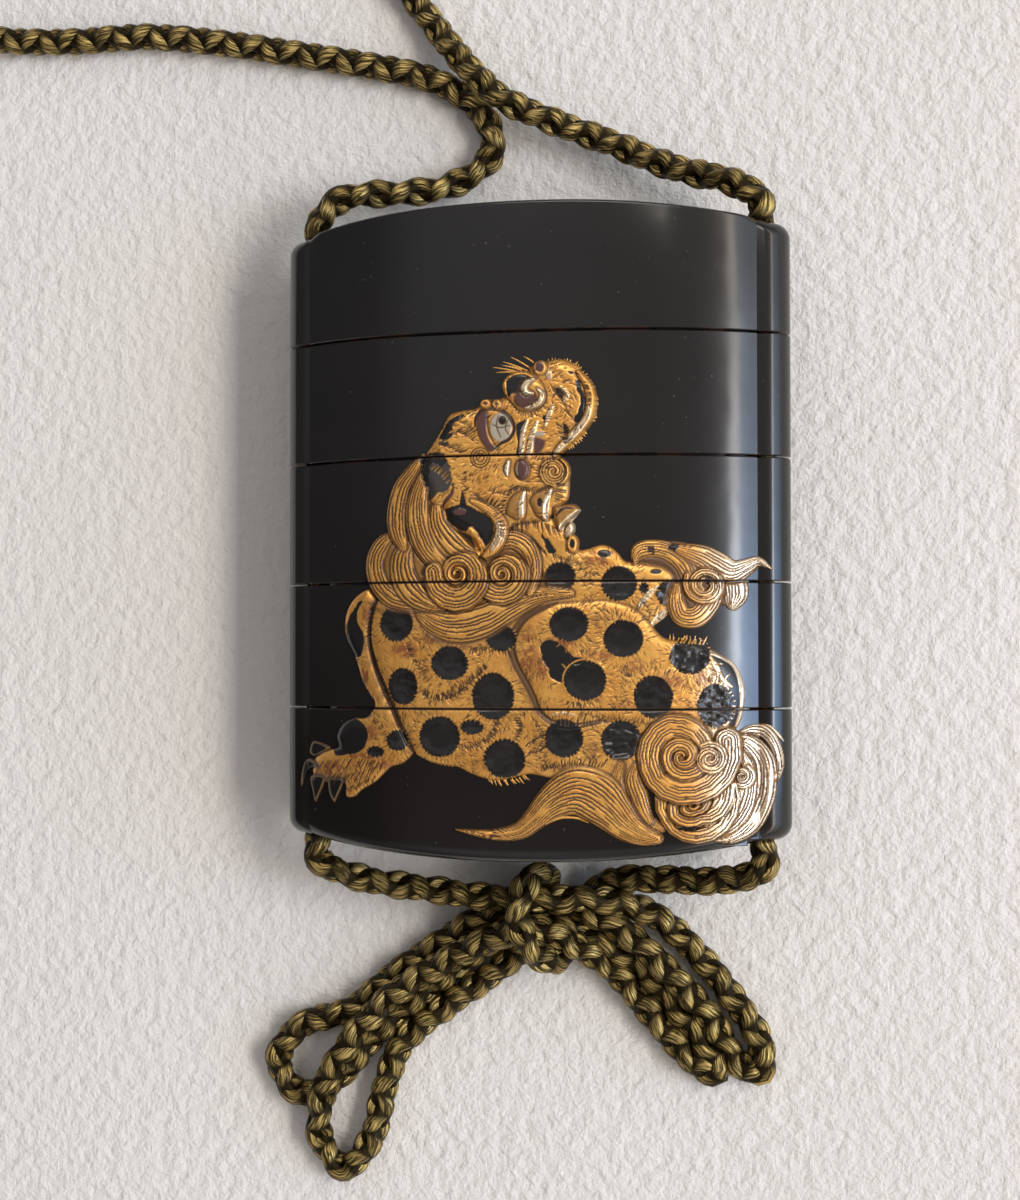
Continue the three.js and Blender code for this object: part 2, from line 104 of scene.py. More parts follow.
# ---- looks: colours as red, green and blue ----
JOINT_WEAR = 0.32
LACQUER_DARK, LACQUER_LIGHT = (0.0055, 0.0045, 0.0042), (0.010, 0.0075, 0.0065)
DUST, JOINT_BROWN = (0.08, 0.07, 0.06), (0.030, 0.014, 0.009)
# The last silk colour is the painted sheen on the braid's crests.
SILK_DARK, SILK_BROWN, SILK_SHEEN = (0.012, 0.008, 0.003), (0.028, 0.018, 0.006), (0.66, 0.475, 0.165)
TABLE_DARK, TABLE_LIGHT = (0.72, 0.688, 0.650), (0.80, 0.772, 0.738)
# Paints of the relief: red, green, blue, how metallic, how rough.
GOLD = (0.85, 0.415, 0.092, 0.66, 0.35)
# A pale gold for painted highlights on ridges that face the light.
PALE_HIGHLIGHT = (0.88, 0.68, 0.44, 0.80, 0.28)
# A near-white paint: the painted glare that whitens the gold on the right.
PAINTED_GLARE = (0.98, 0.86, 0.68, 0.92, 0.15)
OCHRE = (0.40, 0.19, 0.045, 0.55, 0.45)
# This brown is also the colour of painted shade in recesses and along rims.
BROWN = (0.115, 0.055, 0.022, 0.30, 0.45)
INK = (0.030, 0.011, 0.005, 0.05, 0.40)
MAROON = (0.100, 0.042, 0.035, 0.10, 0.30)
RUST = (0.30, 0.095, 0.032, 0.40, 0.42)
BLACK = (0.010, 0.0085, 0.008, 0.0, 0.16)
GREY = (0.060, 0.052, 0.045, 0.20, 0.40)
CREAM = (0.40, 0.345, 0.26, 0.10, 0.40)
HORN = (0.17, 0.115, 0.060, 0.35, 0.40)
LINE = (0.034, 0.012, 0.005, 0.0, 0.60)
# How metallic a paint is at least: where painted shade takes, on any gold, and where hairs are engraved.
SHADED_METAL, GOLD_METAL, FUR_METAL = 0.2, 0.4, 0.6

COLLECTION = bpy.context.scene.collection


# ---- small tools ----
def add_object(name, vertices, faces, material):
    """A smooth mesh object from points in millimetres."""
    mesh = bpy.data.meshes.new(name)
    mesh.from_pydata([tuple(c * MM for c in v) for v in vertices], [], faces)
    mesh.materials.append(material)
    mesh.shade_smooth()
    mesh.update()
    piece = bpy.data.objects.new(name, mesh)
    COLLECTION.objects.link(piece)
    return piece


def add_layer(mesh, name, kind, target, values):
    """A named value at every point of a mesh, for its material."""
    layer = mesh.attributes.new(name, kind, "POINT")
    layer.data.foreach_set(target, np.asarray(values, np.float32).ravel())


def catmull(points, per_span):
    """A centripetal Catmull-Rom curve through the points, its ends continued in a straight line."""
    p = np.array(points, float)
    p = np.vstack([2 * p[0] - p[1], p, 2 * p[-1] - p[-2]])
    out = []
    for i in range(1, len(p) - 2):
        a, b, c, d = p[i - 1:i + 3]
        steps = [max(np.linalg.norm(v) ** 0.5, 1e-4) for v in (b - a, c - b, d - c)]
        t1 = (b - a) / steps[0] - (c - a) / (steps[0] + steps[1]) + (c - b) / steps[1]
        t2 = (c - b) / steps[1] - (d - b) / (steps[1] + steps[2]) + (d - c) / steps[2]
        t1, t2 = t1 * steps[1], t2 * steps[1]
        u = np.linspace(0, 1, per_span, endpoint=False)[:, None]
        h = 2 * u ** 3 - 3 * u ** 2
        out.append(b * (1 + h) - c * h + t1 * (u ** 3 - 2 * u ** 2 + u) + t2 * (u ** 3 - u ** 2))
    out.append(p[-2][None])
    return np.vstack(out)


def resample(points, step):
    """The same line with its points an even distance apart."""
    along = np.concatenate([[0], np.cumsum(np.linalg.norm(np.diff(points, axis=0), axis=1))])
    marks = np.linspace(0, along[-1], max(2, int(round(along[-1] / step)) + 1))
    return np.stack([np.interp(marks, along, points[:, k]) for k in range(points.shape[1])], 1)


def ellipse(x, y, rx, ry, angles):
    return [(x + rx * math.cos(a), y + ry * math.sin(a)) for a in angles]


# ---- camera: at the photo's view ----
CAMERA_LENS, CAMERA_NEAR = 65.84, 0.01
CAMERA_PLACE = (0.0498, -0.0140, 0.2589)
CAMERA_TURN = (0.02536, 0.20894, -0.0009)


def make_camera():
    data = bpy.data.cameras.new("camera")
    data.lens = CAMERA_LENS
    data.clip_start = CAMERA_NEAR
    camera = bpy.data.objects.new("camera", data)
    camera.location = CAMERA_PLACE
    camera.rotation_euler = CAMERA_TURN
    COLLECTION.objects.link(camera)
    bpy.context.scene.camera = camera


# ---- node helpers ----
class Nodes:
    """A short way to write a node tree: every call adds one node and links its inputs."""

    def __init__(self, owner, shader="Principled BSDF"):
        owner.use_nodes = True
        self.owner = owner
        self.tree = owner.node_tree
        self.shader = self.tree.nodes[shader]

    def feed(self, socket, value):
        if isinstance(value, bpy.types.NodeSocket):
            self.tree.links.new(value, socket)
        else:
            socket.default_value = value

    def set(self, **inputs):
        for key, value in inputs.items():
            self.feed(self.shader.inputs[key.replace("_", " ")], value)

    def add(self, kind, out=0, settings=None, values=(), **inputs):
        """A node with its inputs given in order as values, or by name; returns one of its outputs."""
        node = self.tree.nodes.new("ShaderNode" + kind)
        for key, value in (settings or {}).items():
            setattr(node, key, value)
        for key, value in (*enumerate(values), *inputs.items()):
            self.feed(node.inputs[key], value)
        return node.outputs[out]

    def attribute(self, name, out=2):
        return self.add("Attribute", out, {"attribute_name": name})

    def noise(self, vector, scale, detail=3.0, rough=0.5):
        return self.add("TexNoise", Vector=vector, Scale=scale, Detail=detail, Roughness=rough)

    def math(self, operation, *values, kind="Math"):
        return self.add(kind, 0, {"operation": operation}, values)

    def ramp(self, value, *stops):
        """A ramp between stops, each of them a place and a grey, or a place and red, green and blue."""
        node = self.tree.nodes.new("ShaderNodeValToRGB")
        self.feed(node.inputs[0], value)
        elements = node.color_ramp.elements
        for _ in stops[2:]:
            elements.new(0.5)
        for element, (place, *colour) in zip(elements, stops):
            element.position = place
            element.color = (*(colour * 3)[:3], 1.0)
        return node.outputs[0]

    def mix(self, factor, a, b):
        node = self.tree.nodes.new("ShaderNodeMix")
        node.data_type = "RGBA"
        for index, value in ((0, factor), (6, a), (7, b)):
            self.feed(node.inputs[index], (*value, 1.0) if isinstance(value, tuple) else value)
        return node.outputs[2]

    def bump(self, height, strength, distance):
        return self.add("Bump", Height=height, Strength=strength, Distance=distance)


# ---- materials ----
def joint_wear(n, place):
    """Where the edges of the joints are chipped to the brown ground."""
    height = n.add("SeparateXYZ", 1, Vector=place)
    near = 0.0
    for joint in JOINTS_Y:
        gap = n.math("ABSOLUTE", n.math("SUBTRACT", height, joint * MM))
        near = n.math("MAXIMUM", near, n.math("SUBTRACT", 1.0, n.math("DIVIDE", gap, JOINT_WEAR * MM)))
    patches = n.ramp(n.noise(place, 420.0), (0.44, 0.0), (0.60, 1.0))
    return n.ramp(n.math("MULTIPLY", near, patches), (0.15, 0.0), (0.4, 1.0))


def lacquer_material():
    n = Nodes(bpy.data.materials.new("black_lacquer"))
    place = n.add("TexCoord", 3)
    cloud = n.noise(place, 90.0, 2.0)
    dust = n.ramp(n.noise(place, 2600.0, 0.0), (0.855, 0.0), (0.89, 1.0))
    black = n.mix(cloud, LACQUER_DARK, LACQUER_LIGHT)
    n.set(Base_Color=n.mix(joint_wear(n, place), n.mix(dust, black, DUST), JOINT_BROWN))
    n.set(Roughness=n.ramp(cloud, (0.3, 0.09), (0.7, 0.16)))
    n.set(Specular_IOR_Level=0.55, Coat_Weight=0.0)
    n.set(Normal=n.bump(n.noise(place, 140.0, 2.0), 0.12, 0.0004))
    return n.owner


def silk_material():
    """Silk threads with a painted sheen on the crests of the braid and painted shade in the dark between
    them.
    """
    n = Nodes(bpy.data.materials.new("braided_silk"))
    uv = n.add("UVMap", 0, {"uv_map": "along"})
    threads = n.noise(n.add("Mapping", Vector=uv, Scale=(26.0, 24.0, 1.0)), 1.0, 2.0, 0.6)
    dark = n.mix(n.noise(n.add("TexCoord", 3), 260.0, 2.0), SILK_DARK, SILK_BROWN)
    # Painted sheen where a strand lies over the others, painted shade where it dips under.
    crest_sheen_and_shade = n.ramp(n.attribute("crest_sheen_and_shade"), (0.45, 0.0), (0.95, 1.0))
    thread_sheen = n.ramp(threads, (0.44, 0.06), (0.62, 1.0))
    n.set(Base_Color=n.mix(n.math("MULTIPLY", thread_sheen, crest_sheen_and_shade), dark, SILK_SHEEN))
    n.set(Metallic=0.70, Roughness=0.36, Specular_IOR_Level=0.2)
    n.set(Normal=n.bump(threads, 0.8, 0.00025))
    return n.owner


def relief_material():
    n = Nodes(bpy.data.materials.new("gold_and_black_lacquer"))
    n.set(Base_Color=n.attribute("tint", 0), Metallic=n.attribute("metal"), Roughness=n.attribute("rough"))
    n.set(Specular_IOR_Level=0.4, Coat_Weight=0.25, Coat_Roughness=0.18)
    return n.owner


def table_material():
    n = Nodes(bpy.data.materials.new("pale_table"))
    place = n.add("TexCoord", 3)
    n.set(Base_Color=n.mix(n.noise(place, 26.0, 4.0, 0.6), TABLE_DARK, TABLE_LIGHT))
    n.set(Roughness=0.75)
    n.set(Normal=n.bump(n.noise(place, 560.0, 4.0, 0.6), 0.75, 0.0008))
    return n.owner


LACQUER = lacquer_material()
SILK = silk_material()
RELIEF = relief_material()

# ---- the cord: its routes are those of the part source, one row of points to a bend ----
TOP_LEFT_ROUTE = [
    (-RIDGE_X, TOP_ENTRY, MID_Z), (-26.1, 37.6, 9.7), (-23.6, 40.6, 8.2), (-18.4, 41.4, 6.0),
    (-13.6, 42.0, 4.2), (-9.8, 43.6, 2.6), (-7.0, 46.4, 1.8), (-7.2, 50.0, REST_Z),
    (-10.2, 53.6, REST_Z), (-15.0, 56.2, REST_Z), (-22.5, 58.2, REST_Z), (-31.0, 60.0, REST_Z),
    (-41.0, 62.0, REST_Z), (-51.0, 63.4, REST_Z), (-61.0, 63.4, REST_Z), (-70.5, 64.2, REST_Z),
    (-78.5, 66.4, REST_Z), (-83.2, 72.4, REST_Z), (-83.2, 80.0, REST_Z), (-81.2, 88.6, REST_Z),
]
TOP_RIGHT_ROUTE = [
    (RIDGE_X, TOP_ENTRY, MID_Z), (26.2, 37.8, 9.7), (22.8, 40.4, 8.4), (17.2, 42.4, 6.2),
    (12.8, 44.3, 5.0), (8.8, 46.3, 4.2), (4.0, 48.3, 4.0), (-0.6, 50.2, 4.6), (-5.0, 52.4, 5.2),
    (-8.4, 55.6, 4.6), (-11.6, 59.4, 3.0), (-14.8, 63.6, REST_Z), (-18.2, 68.4, REST_Z),
    (-24.6, 78.0, REST_Z), (-33.2, 90.8, 2.8), (-42.9, 105.4, 4.8),
]
BOW_ROUTE = [
    (-RIDGE_X, -BASE_ENTRY, MID_Z), (-26.2, -37.8, 9.7), (-21.6, -40.1, 8.4), (-13.5, -41.4, 7.2),
    (-6.5, -42.2, 7.2), (0.5, -42.3, 7.3),
    (7.0, -42.3, 6.0), (12.6, -44.2, 3.4), (17.2, -48.4, 1.9), (21.6, -53.6, REST_Z),
    (25.0, -59.0, REST_Z), (25.0, -62.4, REST_Z), (22.4, -61.4, REST_Z), (19.4, -56.4, 2.6),
    (14.6, -50.8, 4.0), (9.2, -46.0, 4.6),
    (1.5, -42.8, 4.4), (-5.5, -43.8, 4.2),
    (-12.0, -47.6, 2.4), (-18.8, -52.2, REST_Z), (-24.6, -56.8, REST_Z), (-30.6, -58.8, REST_Z),
    (-33.6, -63.0, REST_Z), (-31.0, -67.0, REST_Z), (-26.4, -65.2, REST_Z), (-21.4, -59.6, REST_Z),
    (-14.4, -53.6, REST_Z), (-7.4, -48.2, 2.8),
    (0.0, -45.8, 4.3), (5.0, -47.2, 3.4),
    (11.0, -50.6, REST_Z), (15.4, -55.4, REST_Z), (19.2, -60.2, REST_Z), (20.0, -62.8, REST_Z),
    (17.0, -61.2, REST_Z), (12.8, -56.8, REST_Z), (8.0, -51.2, 2.2), (3.6, -47.8, 5.0),
    (-1.0, -45.6, 7.4), (-6.6, -47.4, 6.4),
    (-12.6, -50.6, 4.6), (-18.6, -54.6, 4.4), (-23.6, -60.0, 4.6), (-27.4, -66.4, 3.4),
    (-28.2, -72.4, 1.9), (-25.2, -75.8, REST_Z), (-21.8, -72.0, REST_Z), (-20.2, -66.0, REST_Z),
    (-18.0, -60.6, REST_Z), (-12.4, -55.8, REST_Z), (-6.0, -51.2, REST_Z),
    (-2.0, -47.4, REST_Z), (-0.6, -42.0, 2.0), (0.4, -39.5, 5.6), (-1.0, -40.2, 9.4),
    (-2.0, -43.8, 10.6), (-0.6, -48.0, 9.0), (1.4, -49.6, 5.4), (3.2, -46.8, REST_Z),
    (4.6, -42.8, 2.2), (8.4, -40.3, 4.4),
    (14.6, -39.8, 6.6), (21.2, -39.6, 8.4), (26.2, -38.0, 9.7), (RIDGE_X, -BASE_ENTRY, MID_Z),
]


def coil_turns():
    """The spare length: from where the left strand arrives, clockwise, on to where the right one leaves."""
    points = []
    for turned in range(0, COIL_SWEEP + 1, COIL_STEP):
        angle = math.radians(COIL_START - turned)
        climbed = min(max((turned - CLIMB_FROM) / (CLIMB_TO - CLIMB_FROM), 0.0), 1.0)
        points.append((COIL_CENTRE[0] + COIL_RADIUS * math.cos(angle),
                       COIL_CENTRE[1] + COIL_RADIUS * math.sin(angle),
                       REST_Z + climbed * (CORD_DIAMETER - 0.1)))
    return points


def travelling_frames(path):
    """Two unit vectors across the path at each point, turned as little as possible along it."""
    way = np.gradient(path, axis=0)
    way /= np.linalg.norm(way, axis=1)[:, None]
    side = np.cross(way[0], (0.0, 0.0, 1.0))
    side /= np.linalg.norm(side)
    sides = []
    for t in way:
        side = side - t * np.dot(side, t)
        side /= np.linalg.norm(side)
        sides.append(side)
    return np.array(sides), np.cross(way, sides)


def hand(strand):
    """Which way a strand winds: the first half one way, the others against it."""
    return 1 if strand < STRANDS // 2 else -1


def strand_points(path, frames, turn, strand):
    """The rings of one strand, and how far it lies over (1) or under (-1) the others along it."""
    a, b = frames
    held = turn + STRAND_DWELL * np.sin(4 * turn) / 4
    angle = hand(strand) * held + (strand % 2) * np.pi + (0 if hand(strand) > 0 else np.pi / 2)
    over = hand(strand) * np.sin(2 * turn)
    out = a * np.cos(angle)[:, None] + b * np.sin(angle)[:, None]
    across = -a * np.sin(angle)[:, None] + b * np.cos(angle)[:, None]
    centre = path + out * (STRAND_ORBIT + STRAND_WEAVE * over)[:, None]
    size = (1 + STRAND_SWELL * (over - 1) / 2)[:, None]
    rings = []
    for k in range(STRAND_SIDES):
        phi = 2 * np.pi * k / STRAND_SIDES
        spoke = out * STRAND_THICK * math.cos(phi) + across * STRAND_WIDE * math.sin(phi)
        rings.append(centre + size * spoke)
    return np.stack(rings, 1).reshape(-1, 3), over


def strand_skin(start, along, strand):
    """The faces of one strand, its points counted from a number, and where its threads run on them."""
    faces, uvs = [], []
    for i in range(len(along) - 1):
        row, after = start + i * STRAND_SIDES, start + (i + 1) * STRAND_SIDES
        (u0, t0), (u1, t1) = ((s * THREAD_LENGTH, hand(strand) * THREAD_TWIST * s) for s in along[i:i + 2])
        for k in range(STRAND_SIDES):
            k2 = (k + 1) % STRAND_SIDES
            v0, v1 = k / STRAND_SIDES + strand, (k + 1) / STRAND_SIDES + strand
            faces.append((row + k, row + k2, after + k2, after + k))
            uvs += [(u0, v0 + t0), (u0, v1 + t0), (u1, v1 + t1), (u1, v0 + t1)]
    last = start + (len(along) - 1) * STRAND_SIDES
    faces.append(tuple(reversed(range(start, start + STRAND_SIDES))))
    faces.append(tuple(range(last, last + STRAND_SIDES)))
    uvs += [(0.0, float(strand))] * (2 * STRAND_SIDES)
    return faces, uvs


def braided_cord(name, route, step=CORD_STEP):
    """Strands plaited round: half wind each way, over and under each other."""
    path = resample(catmull(route, 24), step)
    frames = travelling_frames(path)
    along = np.arange(len(path)) * step
    turn = 2 * np.pi * along / BRAID_PERIOD
    blocks, overs, faces, uvs = [], [], [], []
    for strand in range(STRANDS):
        block, over = strand_points(path, frames, turn, strand)
        strand_faces, strand_uvs = strand_skin(strand * len(block), along, strand)
        blocks.append(block)
        overs.append(np.repeat(over, STRAND_SIDES))
        faces += strand_faces
        uvs += strand_uvs
    piece = add_object(name, np.vstack(blocks), faces, SILK)
    layer = piece.data.uv_layers.new(name="along")
    layer.data.foreach_set("uv", np.array(uvs, np.float32).ravel())
    # How far each strand lies over the others, which the silk turns into painted sheen and shade.
    add_layer(piece.data, "crest_sheen_and_shade", "FLOAT", "value", 0.5 + 0.5 * np.concatenate(overs))
    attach(piece, "root")
    return piece, path * MM


def make_cords():
    top_route = TOP_LEFT_ROUTE + coil_turns() + TOP_RIGHT_ROUTE[::-1]
    top, top_path = braided_cord("cord_above", top_route)
    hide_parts("cord_top_left", "cord_top_right", "cord_top_coil")
    bow, bow_path = braided_cord("cord_below", BOW_ROUTE)
    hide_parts("cord_bow")
    for x, node in ((-RIDGE_X, "cord_run_left"), (RIDGE_X, "cord_run_right")):
        heights = (-BASE_ENTRY + RUN_INSET, 0, TOP_ENTRY - RUN_INSET)
        run, _ = braided_cord(node + "_braid", [(x, y, MID_Z) for y in heights], HIDDEN_CORD_STEP)
        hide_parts(node)


# ---- the lacquered sections ----
def face_height(x):
    """Height of the lens-shaped face above the middle plane."""
    return FACE_EDGE + (HALF_DEPTH - FACE_EDGE) * (1 - np.abs(np.asarray(x, float) / RIDGE_X) ** FACE_POWER)


def front_height(x):
    """Height of the whole front above the middle plane, cord ridges included."""
    out = np.maximum(np.abs(x) - RIDGE_X, 0)
    ridge = np.sqrt(np.maximum(RIDGE_RADIUS ** 2 - out ** 2, 0))
    return np.where(np.abs(x) <= RIDGE_X, face_height(np.minimum(np.abs(x), RIDGE_X)), ridge)


def outer_ring():
    """The plan outline, front then back, as x and z about the middle plane."""
    xs, zs = [], []
    for side in (1, -1):
        x = side * RIDGE_X * np.linspace(-1, 1, FACE_STEPS + 1)
        xs.append(x)
        zs.append(np.maximum(side * face_height(x), -MID_Z))
        angle = np.pi / 2 - np.pi * np.linspace(0, 1, RIDGE_STEPS + 1)
        xs.append(side * (RIDGE_X + RIDGE_RADIUS * np.cos(angle)))
        zs.append(side * RIDGE_RADIUS * np.sin(angle))
    return np.concatenate(xs), np.concatenate(zs)


def cavity_ring(outward):
    """The outline of the hollow, or one a set distance outside it, with as many points as the outer ring."""
    half = CAVITY_HALF_WIDTH + outward
    xs, zs = [], []
    for side in (1, -1):
        x = side * half * np.linspace(-1, 1, FACE_STEPS + 1)
        top = face_height(x) - WALL + outward
        xs += [x, np.full(RIDGE_STEPS + 1, side * half)]
        zs += [side * top, side * top[-1] * np.linspace(1, -1, RIDGE_STEPS + 1) * 0.999]
    return np.concatenate(xs), np.concatenate(zs)


def inset_ring(distance):
    """The outer ring drawn inwards along its own normal."""
    x, z = outer_ring()
    dx = np.roll(x, -1) - np.roll(x, 1)
    dz = np.roll(z, -1) - np.roll(z, 1)
    size = np.maximum(np.hypot(dx, dz), 1e-6)
    return x + distance * dz / size, z - distance * dx / size


class Loft:
    """A closed skin through rings of points, capped at both ends by strips from front to back."""

    def __init__(self):
        self.rings = []

    def ring(self, outline, y):
        x, z = outline
        self.rings.append(np.stack([x, np.broadcast_to(y, x.shape), z + MID_Z], 1))

    def cap(self, row):
        """Faces over the ring whose first point has this number."""
        half, span = len(self.rings[0]) // 2, FACE_STEPS
        front = [row + k for k in range(span + 1)]
        back = [row + half + span - k for k in range(span + 1)]
        right = [row + span + k for k in range(RIDGE_STEPS + 1, 0, -1)]
        left = [row + half + span + k for k in range(RIDGE_STEPS + 1, 0, -1)]
        strip = [(front[k], back[k], back[k + 1], front[k + 1]) for k in range(span)]
        return strip + [(front[-1], back[-1], *right), (back[0], front[0], *left)]

    def mesh(self):
        count = len(self.rings[0])
        faces = []
        for a in range(0, (len(self.rings) - 1) * count, count):
            b = a + count
            faces += [(a + k, a + (k + 1) % count, b + (k + 1) % count, b + k) for k in range(count)]
        faces += self.cap(0)
        faces += [tuple(reversed(face)) for face in self.cap((len(self.rings) - 1) * count)]
        return np.vstack(self.rings), faces


def rounded_end(loft, end, rim):
    """Rings over the rounded rim of a domed end; end is 1 for the lid and -1 for the base."""
    x, _ = outer_ring()
    dome = TOP_DOME if end > 0 else BASE_DOME
    edge_y = end * (HALF_HEIGHT - dome * np.minimum(np.abs(x) / DOME_REACH, 1.0) ** 2)
    radius = rim[0] + (rim[1] - rim[0]) * fade(np.abs(x), RIDGE_X - RIM_BLEND, RIDGE_X + RIM_BLEND)
    angles = np.linspace(0, np.pi / 2, RIM_STEPS)
    for angle in angles[::end]:
        distance = radius * (1 - math.cos(angle))
        loft.ring(inset_ring(distance), edge_y - end * radius * (1 - math.sin(angle)))


def section_piece(index):
    """One hollow section: outside, rim, riser and cavity as a single closed skin."""
    name = NAMES[index]
    is_lid, is_base = index == 0, index == len(NAMES) - 1
    low = None if is_base else JOINTS_Y[index] + SEEN_GAP / 2
    high = None if is_lid else JOINTS_Y[index - 1] - SEEN_GAP / 2
    loft = Loft()
    if is_base:
        rounded_end(loft, -1, BASE_RIM)
    else:
        recess_top = low + RISER_HEIGHT + FIT_GAP
        if is_lid:
            loft.ring(cavity_ring(0), HALF_HEIGHT - LID_TOP)
            loft.ring(cavity_ring(0), recess_top)
        loft.ring(cavity_ring(RISER_WALL + FIT_GAP), recess_top)
        loft.ring(cavity_ring(RISER_WALL + FIT_GAP), low)
        loft.ring(inset_ring(SEAM_BEVEL), low)
        loft.ring(inset_ring(0), low + SEAM_BEVEL)
    if is_lid:
        rounded_end(loft, 1, TOP_RIM)
    else:
        floor_y = -HALF_HEIGHT + BASE_FLOOR if is_base else recess_top + FLOOR
        loft.ring(inset_ring(0), high - SEAM_BEVEL)
        loft.ring(inset_ring(SEAM_BEVEL), high)
        loft.ring(cavity_ring(RISER_WALL), high)
        loft.ring(cavity_ring(RISER_WALL), high + RISER_HEIGHT)
        loft.ring(cavity_ring(0), high + RISER_HEIGHT)
        loft.ring(cavity_ring(0), floor_y)
    vertices, faces = loft.mesh()
    piece = add_object(name + "_lacquer", vertices, faces, LACQUER)
    piece.data.set_sharp_from_angle(angle=math.radians(SHARP_ANGLE))
    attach(piece, "root")
    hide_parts(name)


# ---- the gold relief: a height field painted element by element, in millimetres ----
def fade(value, low, high):
    """0 below low, 1 above high, and a smooth step between."""
    t = np.clip((value - low) / (high - low), 0, 1)
    return t * t * (3 - 2 * t)


class Noise:
    """Smooth seeded noise between -1 and 1."""

    def __init__(self, seed, size=64):
        self.size = size
        self.table = np.random.RandomState(seed).uniform(-1, 1, (size, size))

    def at(self, column, row):
        return self.table[row % self.size, column % self.size]

    def __call__(self, x, y):
        ix, iy = np.floor(x).astype(int), np.floor(y).astype(int)
        fx, fy = x - ix, y - iy
        fx, fy = fx * fx * (3 - 2 * fx), fy * fy * (3 - 2 * fy)
        low = self.at(ix, iy) * (1 - fx) + self.at(ix + 1, iy) * fx
        high = self.at(ix, iy + 1) * (1 - fx) + self.at(ix + 1, iy + 1) * fx
        return low * (1 - fy) + high * fy


NOISE = Noise(11)


def smooth_loop(points, per_span=5):
    """A closed curve through the points."""
    p = list(points)
    ring = catmull(p[-2:] + p + p[:2], per_span)
    return ring[2 * per_span:-2 * per_span - 1]


def loop_distance(px, py, loop):
    """Distance to a closed outline, positive inside it."""
    best = np.full(px.shape, 1e9)
    inside = np.zeros(px.shape, bool)
    for (x0, y0), (x1, y1) in zip(loop, np.roll(loop, -1, 0)):
        dx, dy = x1 - x0, y1 - y0
        t = np.clip(((px - x0) * dx + (py - y0) * dy) / (dx * dx + dy * dy + 1e-12), 0, 1)
        best = np.minimum(best, (px - x0 - t * dx) ** 2 + (py - y0 - t * dy) ** 2)
        if y0 != y1:
            inside ^= ((y0 > py) != (y1 > py)) & (px < dx * (py - y0) / dy + x0)
    return np.where(inside, 1, -1) * np.sqrt(best)


def band_distance(px, py, path):
    """Where points lie in a band: side offset, run along it and its half width there."""
    best = np.full(px.shape, 1e9)
    side, run, width = np.zeros(px.shape), np.zeros(px.shape), np.full(px.shape, 1e-3)
    travelled = 0.0
    for (x0, y0, w0), (x1, y1, w1) in zip(path[:-1], path[1:]):
        dx, dy = x1 - x0, y1 - y0
        size = math.hypot(dx, dy) + 1e-9
        t = np.clip(((px - x0) * dx + (py - y0) * dy) / size ** 2, 0, 1)
        away = np.hypot(px - x0 - t * dx, py - y0 - t * dy)
        wide = np.maximum(w0 + (w1 - w0) * t, 0.02)
        near = away / wide < best
        best = np.where(near, away / wide, best)
        turn = np.sign(dx * (py - y0) - dy * (px - x0))
        side = np.where(near, away * turn, side)
        run = np.where(near, travelled + t * size, run)
        width = np.where(near, wide, width)
        travelled += size
    return side, run, width


